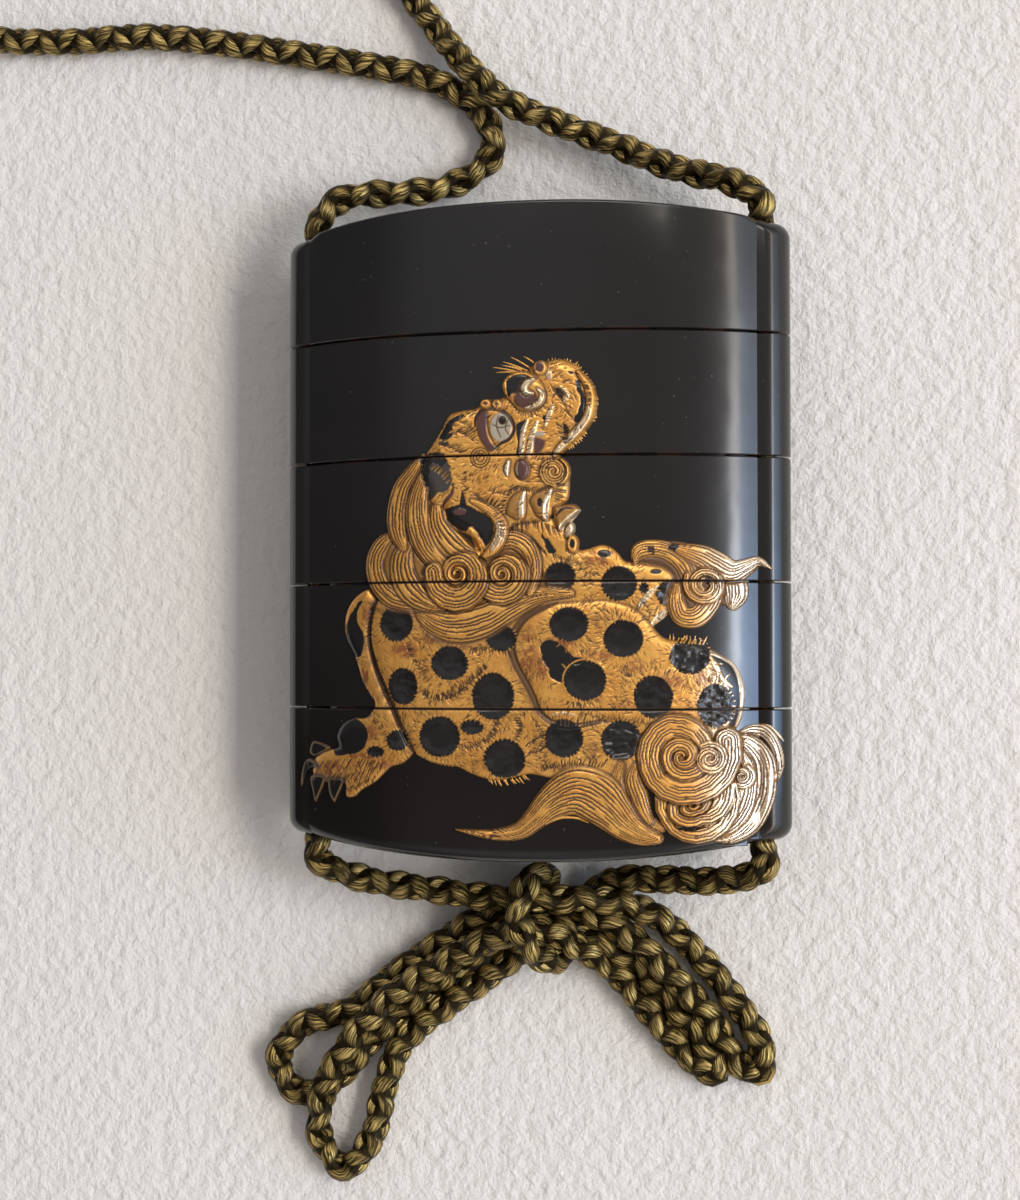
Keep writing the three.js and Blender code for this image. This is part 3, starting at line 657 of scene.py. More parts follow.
class Sheet:
    """The relief on one section: heights above the lacquer and the paint on them."""

    def __init__(self, low, high):
        self.low, self.high = low, high
        half = HALF_WIDTH - SHEET_MARGIN
        nx = int(2 * half / GRID_STEP / BLOCK) * BLOCK
        ny = max(int(round((high - low) / GRID_STEP / BLOCK)), 1) * BLOCK
        self.x = np.linspace(-half, half, nx + 1)
        self.y = np.linspace(low, high, ny + 1)
        self.h = np.full((ny + 1, nx + 1), SUNK)
        self.paint = np.zeros((ny + 1, nx + 1, 5))
        self.paint[:] = BLACK

    # Each of the next three gives one item, or none where what is asked for misses this section.
    def window(self, xs, ys, margin):
        """The part of the grid round some points, and the x and y of each place in it."""
        i0, i1 = np.searchsorted(self.x, (min(xs) - margin, max(xs) + margin))
        j0, j1 = np.searchsorted(self.y, (min(ys) - margin, max(ys) + margin))
        if i0 < i1 and j0 < j1:
            px, py = np.meshgrid(self.x[i0:i1], self.y[j0:j1])
            yield (slice(j0, j1), slice(i0, i1)), px, py

    def within(self, points, margin):
        """The window round an outline, and how deep inside it each place is."""
        for win, px, py in self.window([p[0] for p in points], [p[1] for p in points], margin):
            yield win, px, py, loop_distance(px, py, smooth_loop(points))

    def along(self, curve, margin):
        """The window round a band, and the side offset, run and half width at each place."""
        curve = np.array(curve)
        for win, px, py in self.window(curve[:, 0], curve[:, 1], margin):
            yield win, px, py, *band_distance(px, py, curve)

    def tint(self, win, amount, colour):
        amount = np.clip(amount, 0, 1)[..., None]
        self.paint[win] += (np.array(colour) - self.paint[win]) * amount

    def raise_to(self, win, depth_in, height, edge, groove):
        """A domed form whose edge is where depth_in is 0, with a groove where it meets older relief."""
        old = self.h[win]
        over = fade(old, 0.0, 0.12)
        start = np.maximum(old, 0) - groove * over
        rise = np.sqrt(1 - (1 - np.clip(depth_in / edge, 0, 1)) ** 2)
        dip = groove * over * np.exp(-(np.minimum(depth_in, 0) / GROOVE_WIDTH) ** 2)
        outside = np.maximum(old - dip, np.maximum(depth_in * 3.0, SUNK))
        self.h[win] = np.where(depth_in > 0, start + (height - start) * rise, outside)

    def sink(self, win, depth):
        """Lowers what stands above the lacquer."""
        self.h[win] -= depth * (self.h[win] > 0)

    def stroke(self, win, amount, lift, foot):
        """Raises or sinks a thin stroke; a raised one has a foot of its own where there is no relief."""
        old = self.h[win]
        bare = np.maximum(old, foot) if lift > 0 else old
        self.h[win] = np.where(old > 0.02, old + lift * amount, bare)

    def contour_shade(self, win, depth):
        """Painted shade: darkens older relief just outside a new form, in the corner where the two meet."""
        near = np.exp(-(np.minimum(depth, 0) / CONTOUR_SHADE_WIDTH) ** 2)
        self.tint(win, CONTOUR_SHADE_STRENGTH * near * (self.h[win] > 0.05), BROWN)

    # -- elements --
    def mass(self, points, height, edge, colour=GOLD, groove=0.10):
        """A domed form inside an outline, with painted shade along its edge."""
        for win, _, _, depth in self.within(points, 1.0):
            self.contour_shade(win, depth)
            self.raise_to(win, depth, height, edge, groove)
            inside = fade(depth, -SOFT_EDGE, SOFT_EDGE)
            self.tint(win, inside, colour)
            # Painted shade along the rim of the form.
            self.tint(win, MASS_RIM_SHADE * inside * (1 - fade(depth, 0.04, 0.20)), BROWN)

    def knob(self, x, y, rx, ry, count, height, edge, colour=GOLD, groove=0.10, last=5.8):
        """A small domed oval of so many points, the last of them at an angle in radians."""
        self.mass(ellipse(x, y, rx, ry, np.linspace(0, last, count)), height, edge, colour, groove)

    def blot(self, points, colour=BLACK, dip=0.05, soft=0.06, ragged=0.0):
        """A patch of another colour, a little lower than what surrounds it."""
        for win, px, py, depth in self.within(points, 0.5):
            amount = fade(depth + ragged * NOISE(px * 3.1, py * 3.1), -soft, soft)
            self.sink(win, dip * amount)
            self.tint(win, amount, colour)

    def oval(self, x, y, rx, ry, colour=BLACK, **settings):
        self.blot(ellipse(x, y, rx, ry, np.linspace(0, 2 * np.pi, 13)[:-1]), colour, **settings)

    def band(self, path, height, **settings):
        """A lock of hair or a ridge along a smooth path through the points."""
        self.lock(catmull(path, 6), height, **settings)

    def lock(self, curve, height, count=0, spacing=0.40, colour=GOLD, edge=0.8, groove=0.10, ink=0.95):
        """A domed band with lines engraved along it: so many, or else an even distance apart."""
        margin = max(p[2] for p in curve) + 0.3
        for win, _, _, side, run, width in self.along(curve, margin):
            depth = width - np.abs(side)
            self.contour_shade(win, depth)
            self.raise_to(win, depth, height, np.minimum(edge, width), groove)
            inside = fade(depth, -SOFT_EDGE, SOFT_EDGE)
            rim = np.minimum(0.4, 0.05 + 0.4 * width)
            self.tint(win, inside, colour)
            # Painted shade along the rim of the band.
            self.tint(win, BAND_RIM_SHADE * inside * (1 - fade(depth, 0.0, rim)), BROWN)
            if ink:
                phase = (side / width + 1) / 2 * count if count else (width - side) / spacing
                self.engrave(win, phase, run, inside, ink)

    def engrave(self, win, phase, run, inside, ink):
        """Lines along a band, one at every whole phase, that waver and break off here and there."""
        number = np.floor(phase + 0.5)
        wobble = 0.24 * NOISE(run * 0.6, number * 7.3) + 0.10 * NOISE(run * 2.5, phase)
        line = fade(np.cos(2 * np.pi * (phase + wobble)), -0.55, 0.15)
        line = line * fade(NOISE(run * 0.5 + number * 3.1, number * 5.7), -0.80, -0.35) * inside
        self.h[win] -= LINE_DEPTH * line
        self.tint(win, ink * line, LINE)

    def curl(self, x, y, start, way, radii, height, spacing=0.40, **settings):
        """A spiral lock; radii are its outline at every quarter turn, from outside to centre."""
        marks = np.arange(len(radii))
        path = []
        for k in np.arange(0, len(radii) - 4.99, 0.25):
            outer, inner = np.interp(k, marks, radii), np.interp(k + 4, marks, radii)
            angle = math.radians(start + way * 90 * k)
            middle = (outer + inner) / 2
            width = max((outer - inner) / 2, 0.05)
            path.append((x + middle * math.cos(angle), y + middle * math.sin(angle), width))
        self.lock(path, height, spacing=spacing, edge=CURL_EDGE, **settings)

    def streak(self, path, colour, lift=0.0, strength=1.0):
        """A thin tapering stroke, raised or engraved."""
        curve = catmull(path, 4)
        for win, _, _, side, _, width in self.along(curve, max(curve[:, 2]) + 0.25):
            depth = width - np.abs(side)
            amount = fade(depth, -0.06, 0.06) * strength
            self.stroke(win, amount, lift, depth * 1.2)
            self.tint(win, amount, colour)

    def shade(self, path, strength, dip=0.0):
        """Painted shade: a soft, uneven darkening of gold along a path, as in a recess."""
        curve = catmull(path, 5)
        for win, px, py, side, _, width in self.along(curve, max(curve[:, 2]) + 0.3):
            amount = np.exp(-(side / width * 1.5) ** 2) * (np.abs(side) < width)
            amount = amount * np.clip(0.85 + 0.6 * NOISE(px * 2.2 + 3, py * 2.2), 0, 1)
            self.sink(win, dip * amount)
            self.tint(win, strength * amount * (self.paint[win][..., 3] > SHADED_METAL), BROWN)

    def stain(self, x, y, rx, ry, colour):
        """A cloudy patch where the gold is worn to the colour beneath."""
        for win, px, py in self.window((x - rx, x + rx), (y - ry, y + ry), 0.3):
            amount = fade(1 - np.hypot((px - x) / rx, (py - y) / ry), 0.0, 0.7)
            amount = amount * fade(NOISE(px * 2.7 + x, py * 2.7) + 0.5 * NOISE(px * 6, py * 6), -0.9, 0.3)
            self.tint(win, STAIN * amount * (self.paint[win][..., 3] > GOLD_METAL), colour)

    def hair(self, x, y, angle, length, colour, width, lift, bend=0.0):
        """A single short hair from a root, in a direction given in degrees."""
        curve = [(x, y, width)]
        for heading, share in ((math.radians(angle), 0.85), (math.radians(angle + bend), 0.3)):
            x, y = x + length / 2 * math.cos(heading), y + length / 2 * math.sin(heading)
            curve.append((x, y, width * share))
        for win, _, _, side, _, wide in self.along(curve, 0.2):
            depth = wide - np.abs(side)
            amount = fade(depth, -0.05, 0.04)
            self.stroke(win, amount, lift, depth * 1.5)
            self.tint(win, amount * 0.9, colour)

    def fold(self, path, seed):
        """A crease of the body: a soft dip darkened with painted shade, with short hairs combed across it.
        """
        self.shade(path, 0.40, 0.03)
        curve = resample(catmull(path, 8), 0.2)
        dice = random.Random(seed)
        for (x0, y0, _), (x1, y1, _) in zip(curve[:-1], curve[1:]):
            across = math.degrees(math.atan2(y1 - y0, x1 - x0)) + 90 + dice.uniform(-30, 30)
            self.hair(x0, y0, across + (180 if dice.random() < 0.5 else 0), dice.uniform(0.35, 0.8), INK,
                      dice.uniform(0.05, 0.085), -0.03)

    def comb(self, roots, count, first, last, colour, dice):
        """A row of short hairs rooted along a line; their sweep changes from the first to the last."""
        path = catmull(roots, 8)
        width, lift = (0.10, 0.05) if colour is GOLD else (0.085, -0.07)
        for k in range(count):
            t = (k + dice.uniform(0.25, 0.75)) / count
            x, y = path[int(t * (len(path) - 1))]
            dx, dy = (a + (b - a) * t for a, b in zip(first, last))
            angle = math.degrees(math.atan2(dy, dx)) + dice.uniform(-9, 9)
            length = math.hypot(dx, dy) * dice.uniform(0.75, 1.15)
            self.hair(x, y, angle, length, colour, width, lift, dice.uniform(-8, 14))

    def spot(self, x, y, rx, ry, rough, seed):
        """A dished and wrinkled spot of black lacquer with fur combed over its edge."""
        rx, ry = rx + 0.06, ry + 0.06
        for win, px, py in self.window((x - rx, x + rx), (y - ry, y + ry), 0.74):
            angle = np.arctan2(py - y, px - x)
            away = np.hypot((px - x) / rx, (py - y) / ry)
            edge = 1 + 0.035 * NOISE(angle * 2.2 + seed, away * 0 + seed)
            depth = (edge - away) * min(rx, ry)
            amount = fade(depth, -0.05, 0.06)
            wrinkle = NOISE(px + seed, py * 1.5) + 0.5 * NOISE(px * 2.3, py * 2.6 + seed)
            dish = SPOT_DISH * fade(depth, -0.1, 1.1)
            self.sink(win, (dish - rough * SPOT_WRINKLE * wrinkle) * amount)
            self.tint(win, amount, BLACK)
            cloud = NOISE(px * 0.8 + seed, py * 0.8) + 0.5 * NOISE(px * 2.4 + 9, py * 2.4)
            self.tint(win, SPOT_CLOUD * amount * fade(cloud, -0.2, 0.8) * fade(depth, 0.1, 0.6), GREY)
            self.fur_ring(x, y, rx, ry, seed)

    def fur_ring(self, x, y, rx, ry, seed):
        """Hairs round a spot, in turn dark ones over the gold and gold ones over the spot."""
        dice = random.Random(int(seed * 10) + 3)
        step = FUR_SPACING / ((rx + ry) / 2)
        for k in range(int(2 * math.pi / step)):
            turn = k * step + dice.uniform(-0.05, 0.05)
            ex, ey = math.cos(turn), math.sin(turn)
            out = math.degrees(math.atan2(ey / ry, ex / rx)) + dice.uniform(-22, 22)
            if k % 2:
                length = dice.uniform(0.15, 0.42)
                self.hair(x + ex * (rx + 0.02), y + ey * (ry + 0.02), out, length, INK, 0.045, -0.03)
            else:
                length = dice.uniform(0.12, 0.30)
                self.hair(x + ex * (rx + 0.10), y + ey * (ry + 0.10), out + 180, length, GOLD, 0.055, 0.03)

    # -- finish --
    def bevel_joints(self, joints):
        """The relief is worn round where two sections meet."""
        for place in joints:
            near = np.exp(-((self.y - place) / WORN_WIDTH) ** 2)[:, None] * (self.h > 0)
            self.h -= WORN_DEPTH * near
            self.tint(..., 0.9 * near, LINE)

    def age(self):
        """Soft changes of tone, a painted glare on the right and a fine grain on the gold."""
        px, py = np.meshgrid(self.x, self.y)
        cloud = NOISE(px * 0.55, py * 0.55) * 0.6 + NOISE(px * 1.9 + 5, py * 1.9) * 0.4
        grain = NOISE(px * 9.0, py * 9.0) * 0.5 + NOISE(px * 4.0 + 3, py * 4.0) * 0.5
        gold = self.paint[..., 3] > GOLD_METAL
        worn = (cloud + 0.2 * grain)[..., None] * TONE_SPREAD
        factor = 1 + worn + 0.13 * grain[..., None]
        self.paint[..., :3] *= np.where(gold[..., None], factor, 1.0)
        # Painted glare: the gold is whitened, and made smoother, towards the right.
        self.tint(..., PAINTED_GLARE_AMOUNT * fade(px, *PAINTED_GLARE_FROM_TO) * gold, PAINTED_GLARE)
        self.h += GRAIN_HEIGHT * grain * gold * (self.h > 0.1)

    # -- mesh --
    def shown_blocks(self, high):
        """Which blocks of cells reach above the lacquer."""
        rows, columns = ((n - 1) // BLOCK for n in self.h.shape)
        shown = np.zeros((rows, columns), bool)
        for j in range(rows):
            for i in range(columns):
                cell = high[j * BLOCK:(j + 1) * BLOCK + 1, i * BLOCK:(i + 1) * BLOCK + 1]
                shown[j, i] = cell.max() > 0
        return shown

    def underside(self, shown, number, surface, faces):
        """Adds a face below each block and walls where blocks end; gives the points they need."""
        first = number.max() + 1
        low_number, low_points = {}, []

        def below(j, i):
            if (j, i) not in low_number:
                low_number[j, i] = first + len(low_points)
                low_points.append((self.x[i], self.y[j], surface[j, i] + UNDERSIDE))
            return low_number[j, i]

        padded = np.pad(shown, 1)
        for j, i in zip(*np.nonzero(shown)):
            j0, j1, i0, i1 = j * BLOCK, (j + 1) * BLOCK, i * BLOCK, (i + 1) * BLOCK
            faces.append([below(j0, i0), below(j1, i0), below(j1, i1), below(j0, i1)])
            across, upward = range(i0, i1 + 1), range(j0, j1 + 1)
            if not padded[j, i + 1]:
                faces.append([number[j0, k] for k in reversed(across)] + [below(j0, i0), below(j0, i1)])
            if not padded[j + 2, i + 1]:
                faces.append([number[j1, k] for k in across] + [below(j1, i1), below(j1, i0)])
            if not padded[j + 1, i]:
                faces.append([number[k, i0] for k in upward] + [below(j1, i0), below(j0, i0)])
            if not padded[j + 1, i + 2]:
                faces.append([number[k, i1] for k in reversed(upward)] + [below(j0, i1), below(j1, i1)])
        return low_points

    def build(self, name):
        """The closed mesh: fine cells on top, one face per block below, walls where blocks end."""
        high = np.maximum(self.h, SUNK)
        shown = self.shown_blocks(high)
        if not shown.any():
            return
        surface = np.broadcast_to(front_height(self.x) + MID_Z, self.h.shape)
        cells = np.kron(shown, np.ones((BLOCK, BLOCK), bool))
        used = np.zeros(self.h.shape, bool)
        for rows in (slice(None, -1), slice(1, None)):
            for columns in (slice(None, -1), slice(1, None)):
                used[rows, columns] |= cells
        number = np.full(self.h.shape, -1)
        number[used] = np.arange(used.sum())
        px, py = np.meshgrid(self.x, self.y)
        top = np.stack([px[used], py[used], (surface + high)[used]], 1)
        j, i = np.nonzero(cells)
        corners = [number[j, i], number[j, i + 1], number[j + 1, i + 1], number[j + 1, i]]
        faces = np.stack(corners, 1).tolist()
        low_points = self.underside(shown, number, surface, faces)
        piece = add_object(name, np.vstack([top, low_points]), faces, RELIEF)
        self.write_paint(piece.data, used, len(low_points))
        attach(piece, "root")

    def write_paint(self, mesh, used, spare):
        """The paint of the top's points, then black for the points below."""
        rows = np.vstack([self.paint[used], np.tile(BLACK, (spare, 1))])
        add_layer(mesh, "tint", "FLOAT_COLOR", "color", np.column_stack([rows[:, :3], np.ones(len(rows))]))
        add_layer(mesh, "metal", "FLOAT", "value", rows[:, 3])
        add_layer(mesh, "rough", "FLOAT", "value", rows[:, 4])


# ---- the figure: outlines as (x, y), lines as (x, y, half width), seen from the front ----
BODY = [
    (-17, -8), (-17.6, -10.5), (-17.5, -12.5), (-17, -14.5), (-16.2, -16.6), (-15.2, -18.8), (-14.2, -21),
    (-13.2, -23.2), (-12, -24.9), (-9.9, -25.9), (-6.9, -26.4), (-5.4, -27.1), (-3.9, -27.6), (-2.1, -27.8),
    (-0.6, -27.5), (1.3, -27.1), (2.6, -27.3), (3.9, -27.6), (7, -28.4), (14, -28.4), (21, -25), (23, -23.1),
    (24.2, -21.3), (24.6, -19.6), (24.7, -17.8), (24.3, -16.2), (23.5, -14.8), (22.4, -14), (21.1, -13.2),
    (20, -12.5), (18.6, -12.2), (16.9, -12.3), (15.9, -11.8), (15.1, -10.9), (15.3, -10.2), (16.6, -8.8),
    (18, -7), (17.6, -5.4), (16.7, -4.3), (15, -3.7), (13.7, -3.5), (12, -3.5), (11.2, -2.6), (10.3, -1.9),
    (9.3, -1.7), (8, -2.1), (7, -2.2), (6.5, -0.9), (5.4, 0.2), (3.6, 1.6), (0, 1.8), (-3, -1), (-10, -3),
    (-15, -6),
]
HAUNCH = [
    (4.6, -8.2), (3, -8.7), (1.2, -9.8), (0, -11.3), (-0.4, -13.1), (0.1, -14.9), (1.1, -16.7), (2, -18.4),
    (2.7, -20.2), (3.9, -21.1), (5.5, -21.6), (7.5, -21.4), (9.7, -21.1), (13, -22.4), (17, -23.2),
    (21.5, -23.6), (23.7, -21.6), (24.3, -19), (24.2, -16.6), (23.2, -14.8), (21.1, -13.3), (18.6, -12.4),
    (16.2, -12), (14.8, -10.6), (13, -8.8), (9, -7.8),
]
LEG = [
    (-17.7, -6.4), (-18.8, -6.8), (-20, -7.8), (-20.7, -9.1), (-20.9, -10.8), (-20.5, -12.3), (-19.6, -13.9),
    (-19.1, -15.2), (-18.6, -16.7), (-17.7, -18.2), (-16.9, -19.4), (-17.5, -20.5), (-18.2, -21),
    (-19.9, -21.1), (-21.3, -21.9), (-22, -23.2), (-21.8, -24.4), (-23.9, -24.9), (-25.2, -26),
    (-25.3, -27.8), (-22.9, -28.6), (-20.9, -28.6), (-20.7, -30), (-19.6, -30), (-18.6, -29.2),
    (-16.8, -28.2), (-15.6, -27.1), (-14.9, -26.5), (-13.5, -26.1), (-12.5, -25.3), (-12.1, -24.7),
    (-12.9, -23.4), (-13.8, -21.9), (-14.4, -20.5), (-15.1, -19.1), (-15.8, -17.6), (-16.6, -15.9),
    (-17.3, -13.9), (-17.6, -12), (-17.5, -10.3), (-17.1, -8.8), (-16.5, -7.6),
]
LEG_BLACK = [
    (-19.1, -7.9), (-18.4, -7.7), (-19, -8.7), (-19.1, -10.1), (-18.4, -11.2), (-18.3, -12.9),
    (-18.8, -14.1), (-19.6, -13.9), (-20.4, -12.3), (-20.6, -10.8), (-20, -9.1),
]
LEG_WEDGE = [(-22.5, -24.6), (-21.5, -24.6), (-20.5, -25.2), (-22.4, -25.3)]
CLAWS = [
    [(-25.9, -25.3), (-25.5, -23.9), (-24.5, -23.9), (-22.9, -24.5), (-24, -25.1), (-25.5, -25.6)],
    [(-27.2, -29.2), (-27.1, -27.4), (-26.5, -26), (-25.5, -25.9), (-24.4, -26.7), (-25.9, -27),
     (-26.7, -28.4)],
    [(-25, -30.9), (-25.5, -29.5), (-25.8, -28), (-24.8, -27.6), (-23.5, -27.8), (-23.7, -28.5),
     (-24.5, -30)],
    [(-22.3, -30.8), (-23.1, -29.6), (-23.1, -28), (-22.2, -27.9), (-20.9, -28), (-21.2, -28.8),
     (-21.8, -29.9)],
]
BODY_LINE = [
    (-16.5, -7.4, 0.15), (-17.1, -8.8, 0.26), (-17.5, -10.5, 0.3), (-17.6, -12.2, 0.3), (-17.2, -13.9, 0.32),
    (-16.5, -15.9, 0.36), (-15.6, -17.8, 0.4), (-14.5, -19.9, 0.4), (-13.7, -21.8, 0.4),
    (-12.7, -23.6, 0.36), (-12, -24.9, 0.2),
]
HAUNCH_LINE = [
    (4.6, -8.1, 0.1), (3, -8.7, 0.3), (1, -9.7, 0.42), (-0.2, -11.3, 0.5), (-0.6, -13.1, 0.5),
    (-0.1, -14.9, 0.46), (0.9, -16.8, 0.42), (1.8, -18.5, 0.4), (2.6, -20.2, 0.36), (3.9, -21.3, 0.34),
    (5.5, -21.8, 0.34), (7.5, -21.6, 0.3), (9.9, -21.2, 0.15),
]
# Spots: centre, half width, half height, how wrinkled.
SPOTS = [
    (-14.1, -10.3, 2.05, 2, 0.2), (-7.7, -14.8, 2.12, 1.89, 0.3), (-1.8, -12, 1.7, 1.45, 0),
    (-13.3, -17.4, 1.77, 2.08, 0.3), (-2.7, -18.5, 2.4, 2.6, 0), (-8.9, -23, 2.4, 2.25, 0),
    (-5.1, -21.9, 1.4, 0.8, 0), (-1.4, -25.4, 2.35, 2.15, 0.15), (4.9, -5.2, 1.75, 1.6, 0.3),
    (11.4, -6, 1.95, 1.9, 0.2), (14.1, -6.5, 0.5, 0.62, 0), (16.9, -7.1, 1.5, 1.42, 0.8),
    (5.9, -10.5, 2.2, 1.9, 0.1), (11.9, -12.1, 2.2, 2.05, 0), (15.1, -18.5, 2.1, 2.35, 0.4),
    (7.7, -16.7, 2.35, 2.2, 0), (5.3, -23.1, 2.15, 2.1, 0.2), (11.6, -23.3, 2.2, 2.2, 1),
    (19, -14, 2.1, 2, 1), (21.7, -19.5, 1.9, 2.4, 1.3), (-14, -23.5, 1.3, 1.15, 0.3),
    (-16.7, -24.8, 1.15, 0.6, 0),
]
BLOB = [
    (2.6, -13.1), (3.2, -12.3), (4.2, -12.2), (5.5, -13.1), (6.6, -14.1), (8, -14.2), (7.7, -14.6),
    (6.2, -15.2), (5.4, -16.4), (5.1, -16.9), (3.9, -16.4), (3.5, -15.3), (2.8, -14.2),
]
RIM_BLACK = [
    (21.2, -13.9), (22.6, -14.4), (23.6, -15.4), (24.1, -17), (24.2, -18.8), (23.9, -21), (23.2, -22.4),
    (23, -20.5), (23.3, -18.4), (22.6, -16.6), (21.8, -15.3),
]


def paint_body(s):
    s.mass(LEG, 0.55, 1.1)
    s.mass(BODY, 0.62, 1.5)
    s.mass(HAUNCH, 0.85, 2, groove=0.08)
    # Painted shade beside the haunch's outline.
    s.shade([(x - 0.3, y - 0.1, 2 * width) for x, y, width in HAUNCH_LINE], 0.7)
    s.streak(HAUNCH_LINE, BROWN, -0.05, 0.95)
    # Painted shade beside the body's outline.
    s.shade([(x - 0.5, y, 2.2 * width) for x, y, width in BODY_LINE], 0.75)
    s.streak(BODY_LINE, INK, -0.10, 0.9)
    s.blot(LEG_BLACK, dip=0.10, ragged=0.08)
    s.oval(-17.9, -16.2, 0.22, 0.62, RUST)
    s.oval(-20.15, -23.1, 2.5, 2.1)
    s.blot(LEG_WEDGE)
    s.blot(RIM_BLACK, dip=0.06)
    s.streak([(21, -13.6, 0.09), (22.4, -14.2, 0.15), (23.5, -15, 0.17), (24.2, -16.5, 0.17),
              (24.5, -18, 0.15), (24.4, -19.8, 0.09)], OCHRE, 0.08)
    s.streak([(21, -14, 0.12), (21.7, -15.1, 0.28), (22.3, -16.4, 0.24), (23.4, -17.4, 0.1)], GOLD, 0.06)
    # Pale streaks: painted highlights on raised ridges.
    s.streak([(15.4, -6.4, 0.2), (14.6, -7.2, 0.34), (13.6, -8.5, 0.25)], PALE_HIGHLIGHT, 0.22)
    s.streak([(16.7, -8.9, 0.25), (15.8, -9.6, 0.42), (15, -10.4, 0.25)], PALE_HIGHLIGHT, 0.22)
    s.oval(9.8, -2.7, 0.78, 0.44)
    s.oval(9.8, -3.8, 0.46, 0.26, RUST, dip=0.02)
    s.oval(15.4, -4.7, 0.66, 0.3)


# Hairs for each millimetre of height; where none grow, as x from, x to, y from, y to: mane, tufts and tail.
BODY_HAIRS, HEAD_HAIRS = 5200 / 14, 1900
FAR = 99
FURLESS = [
    (-FAR, 5.5, -7.5, FAR), (16, FAR, -7.5, FAR), (14, FAR, -5.7, FAR), (12.5, FAR, -FAR, -22),
    (2.5, FAR, -FAR, -26.5),
]


def paint_fur(s):
    """Short engraved hairs, scattered in patches over the gold."""
    dice = random.Random(int(100 * s.low) + 5)
    for _ in range(int(BODY_HAIRS * (s.high - s.low))):
        x, y = dice.uniform(-21, 24.5), dice.uniform(s.low, s.high)
        j = min(int((y - s.low) / (s.high - s.low) * (len(s.y) - 1)), len(s.y) - 1)
        i = int(np.searchsorted(s.x, x))
        if not in_fur(x, y) or s.paint[j, i, 3] < FUR_METAL:
            continue
        if NOISE(x * 0.45 + 30, y * 0.45) < dice.uniform(-0.9, 0.35):
            continue
        flow = fur_flow(x, y) + dice.uniform(-25, 25)
        s.hair(x, y, flow, dice.uniform(0.35, 0.85), LINE if dice.random() < 0.75 else GOLD,
               dice.uniform(0.045, 0.08), -0.03, dice.uniform(-22, 22))


def in_fur(x, y):
    """Whether a place is on the body, leg or paw rather than on hair or head."""
    under_mane = -12 < x < 4 and y > -12.9 + 0.35 * abs(x + 5)
    return not under_mane and not any(x0 < x < x1 and y0 < y < y1 for x0, x1, y0, y1 in FURLESS)


def fur_flow(x, y):
    """The lie of the hair in degrees: away from the nearest spot, else with the body."""
    for cx, cy, rx, ry, _ in SPOTS:
        if math.hypot((x - cx) / (rx + 1.3), (y - cy) / (ry + 1.3)) < 1:
            return math.degrees(math.atan2(y - cy, x - cx))
    return -60 + 60 * NOISE(x * 0.22, y * 0.22 + 40)


def paint_spots(s):
    for number, (x, y, rx, ry, rough) in enumerate(SPOTS):
        s.spot(x, y, rx, ry, rough, number * 1.7)
    s.blot(BLOB, dip=0.10, ragged=0.10)
    # A pale streak: painted highlight.
    s.streak([(4, -20.5, 0.06), (5.2, -20.3, 0.10), (6.6, -20.5, 0.06)], PALE_HIGHLIGHT, 0.05)
    for turn in range(24, 250, 12):
        ends = ellipse(7.7, -16.7, 2.5, 2.35, (math.radians(turn), math.radians(turn + 13)))
        s.streak([(x, y, 0.06) for x, y in ends], GOLD, 0.02)


# Rows of hairs that stand out over the black lacquer: first and last root, how many, direction, length.
FRINGES = [
    ((16.6, -12.4), (20.6, -12.7), 10, 75, 0.85),
    ((6.2, 18.6), (8.6, 15.4), 9, 35, 0.55),
    ((8.7, 14.8), (8.4, 12), 10, -15, 0.5),
    ((3.3, 18.8), (6.2, 18.7), 8, 75, 0.4),
    ((7.4, 10.8), (5.6, 9.1), 6, -20, 0.5),
]


def paint_fringes(s):
    dice = random.Random(21)
    for (x0, y0), (x1, y1), count, angle, length in FRINGES:
        for k in range(count):
            t = (k + dice.uniform(0.2, 0.8)) / count
            s.hair(x0 + (x1 - x0) * t, y0 + (y1 - y0) * t, angle + dice.uniform(-14, 14),
                   length * dice.uniform(0.7, 1.15), GOLD, 0.085, 0.04, dice.uniform(-6, 28))


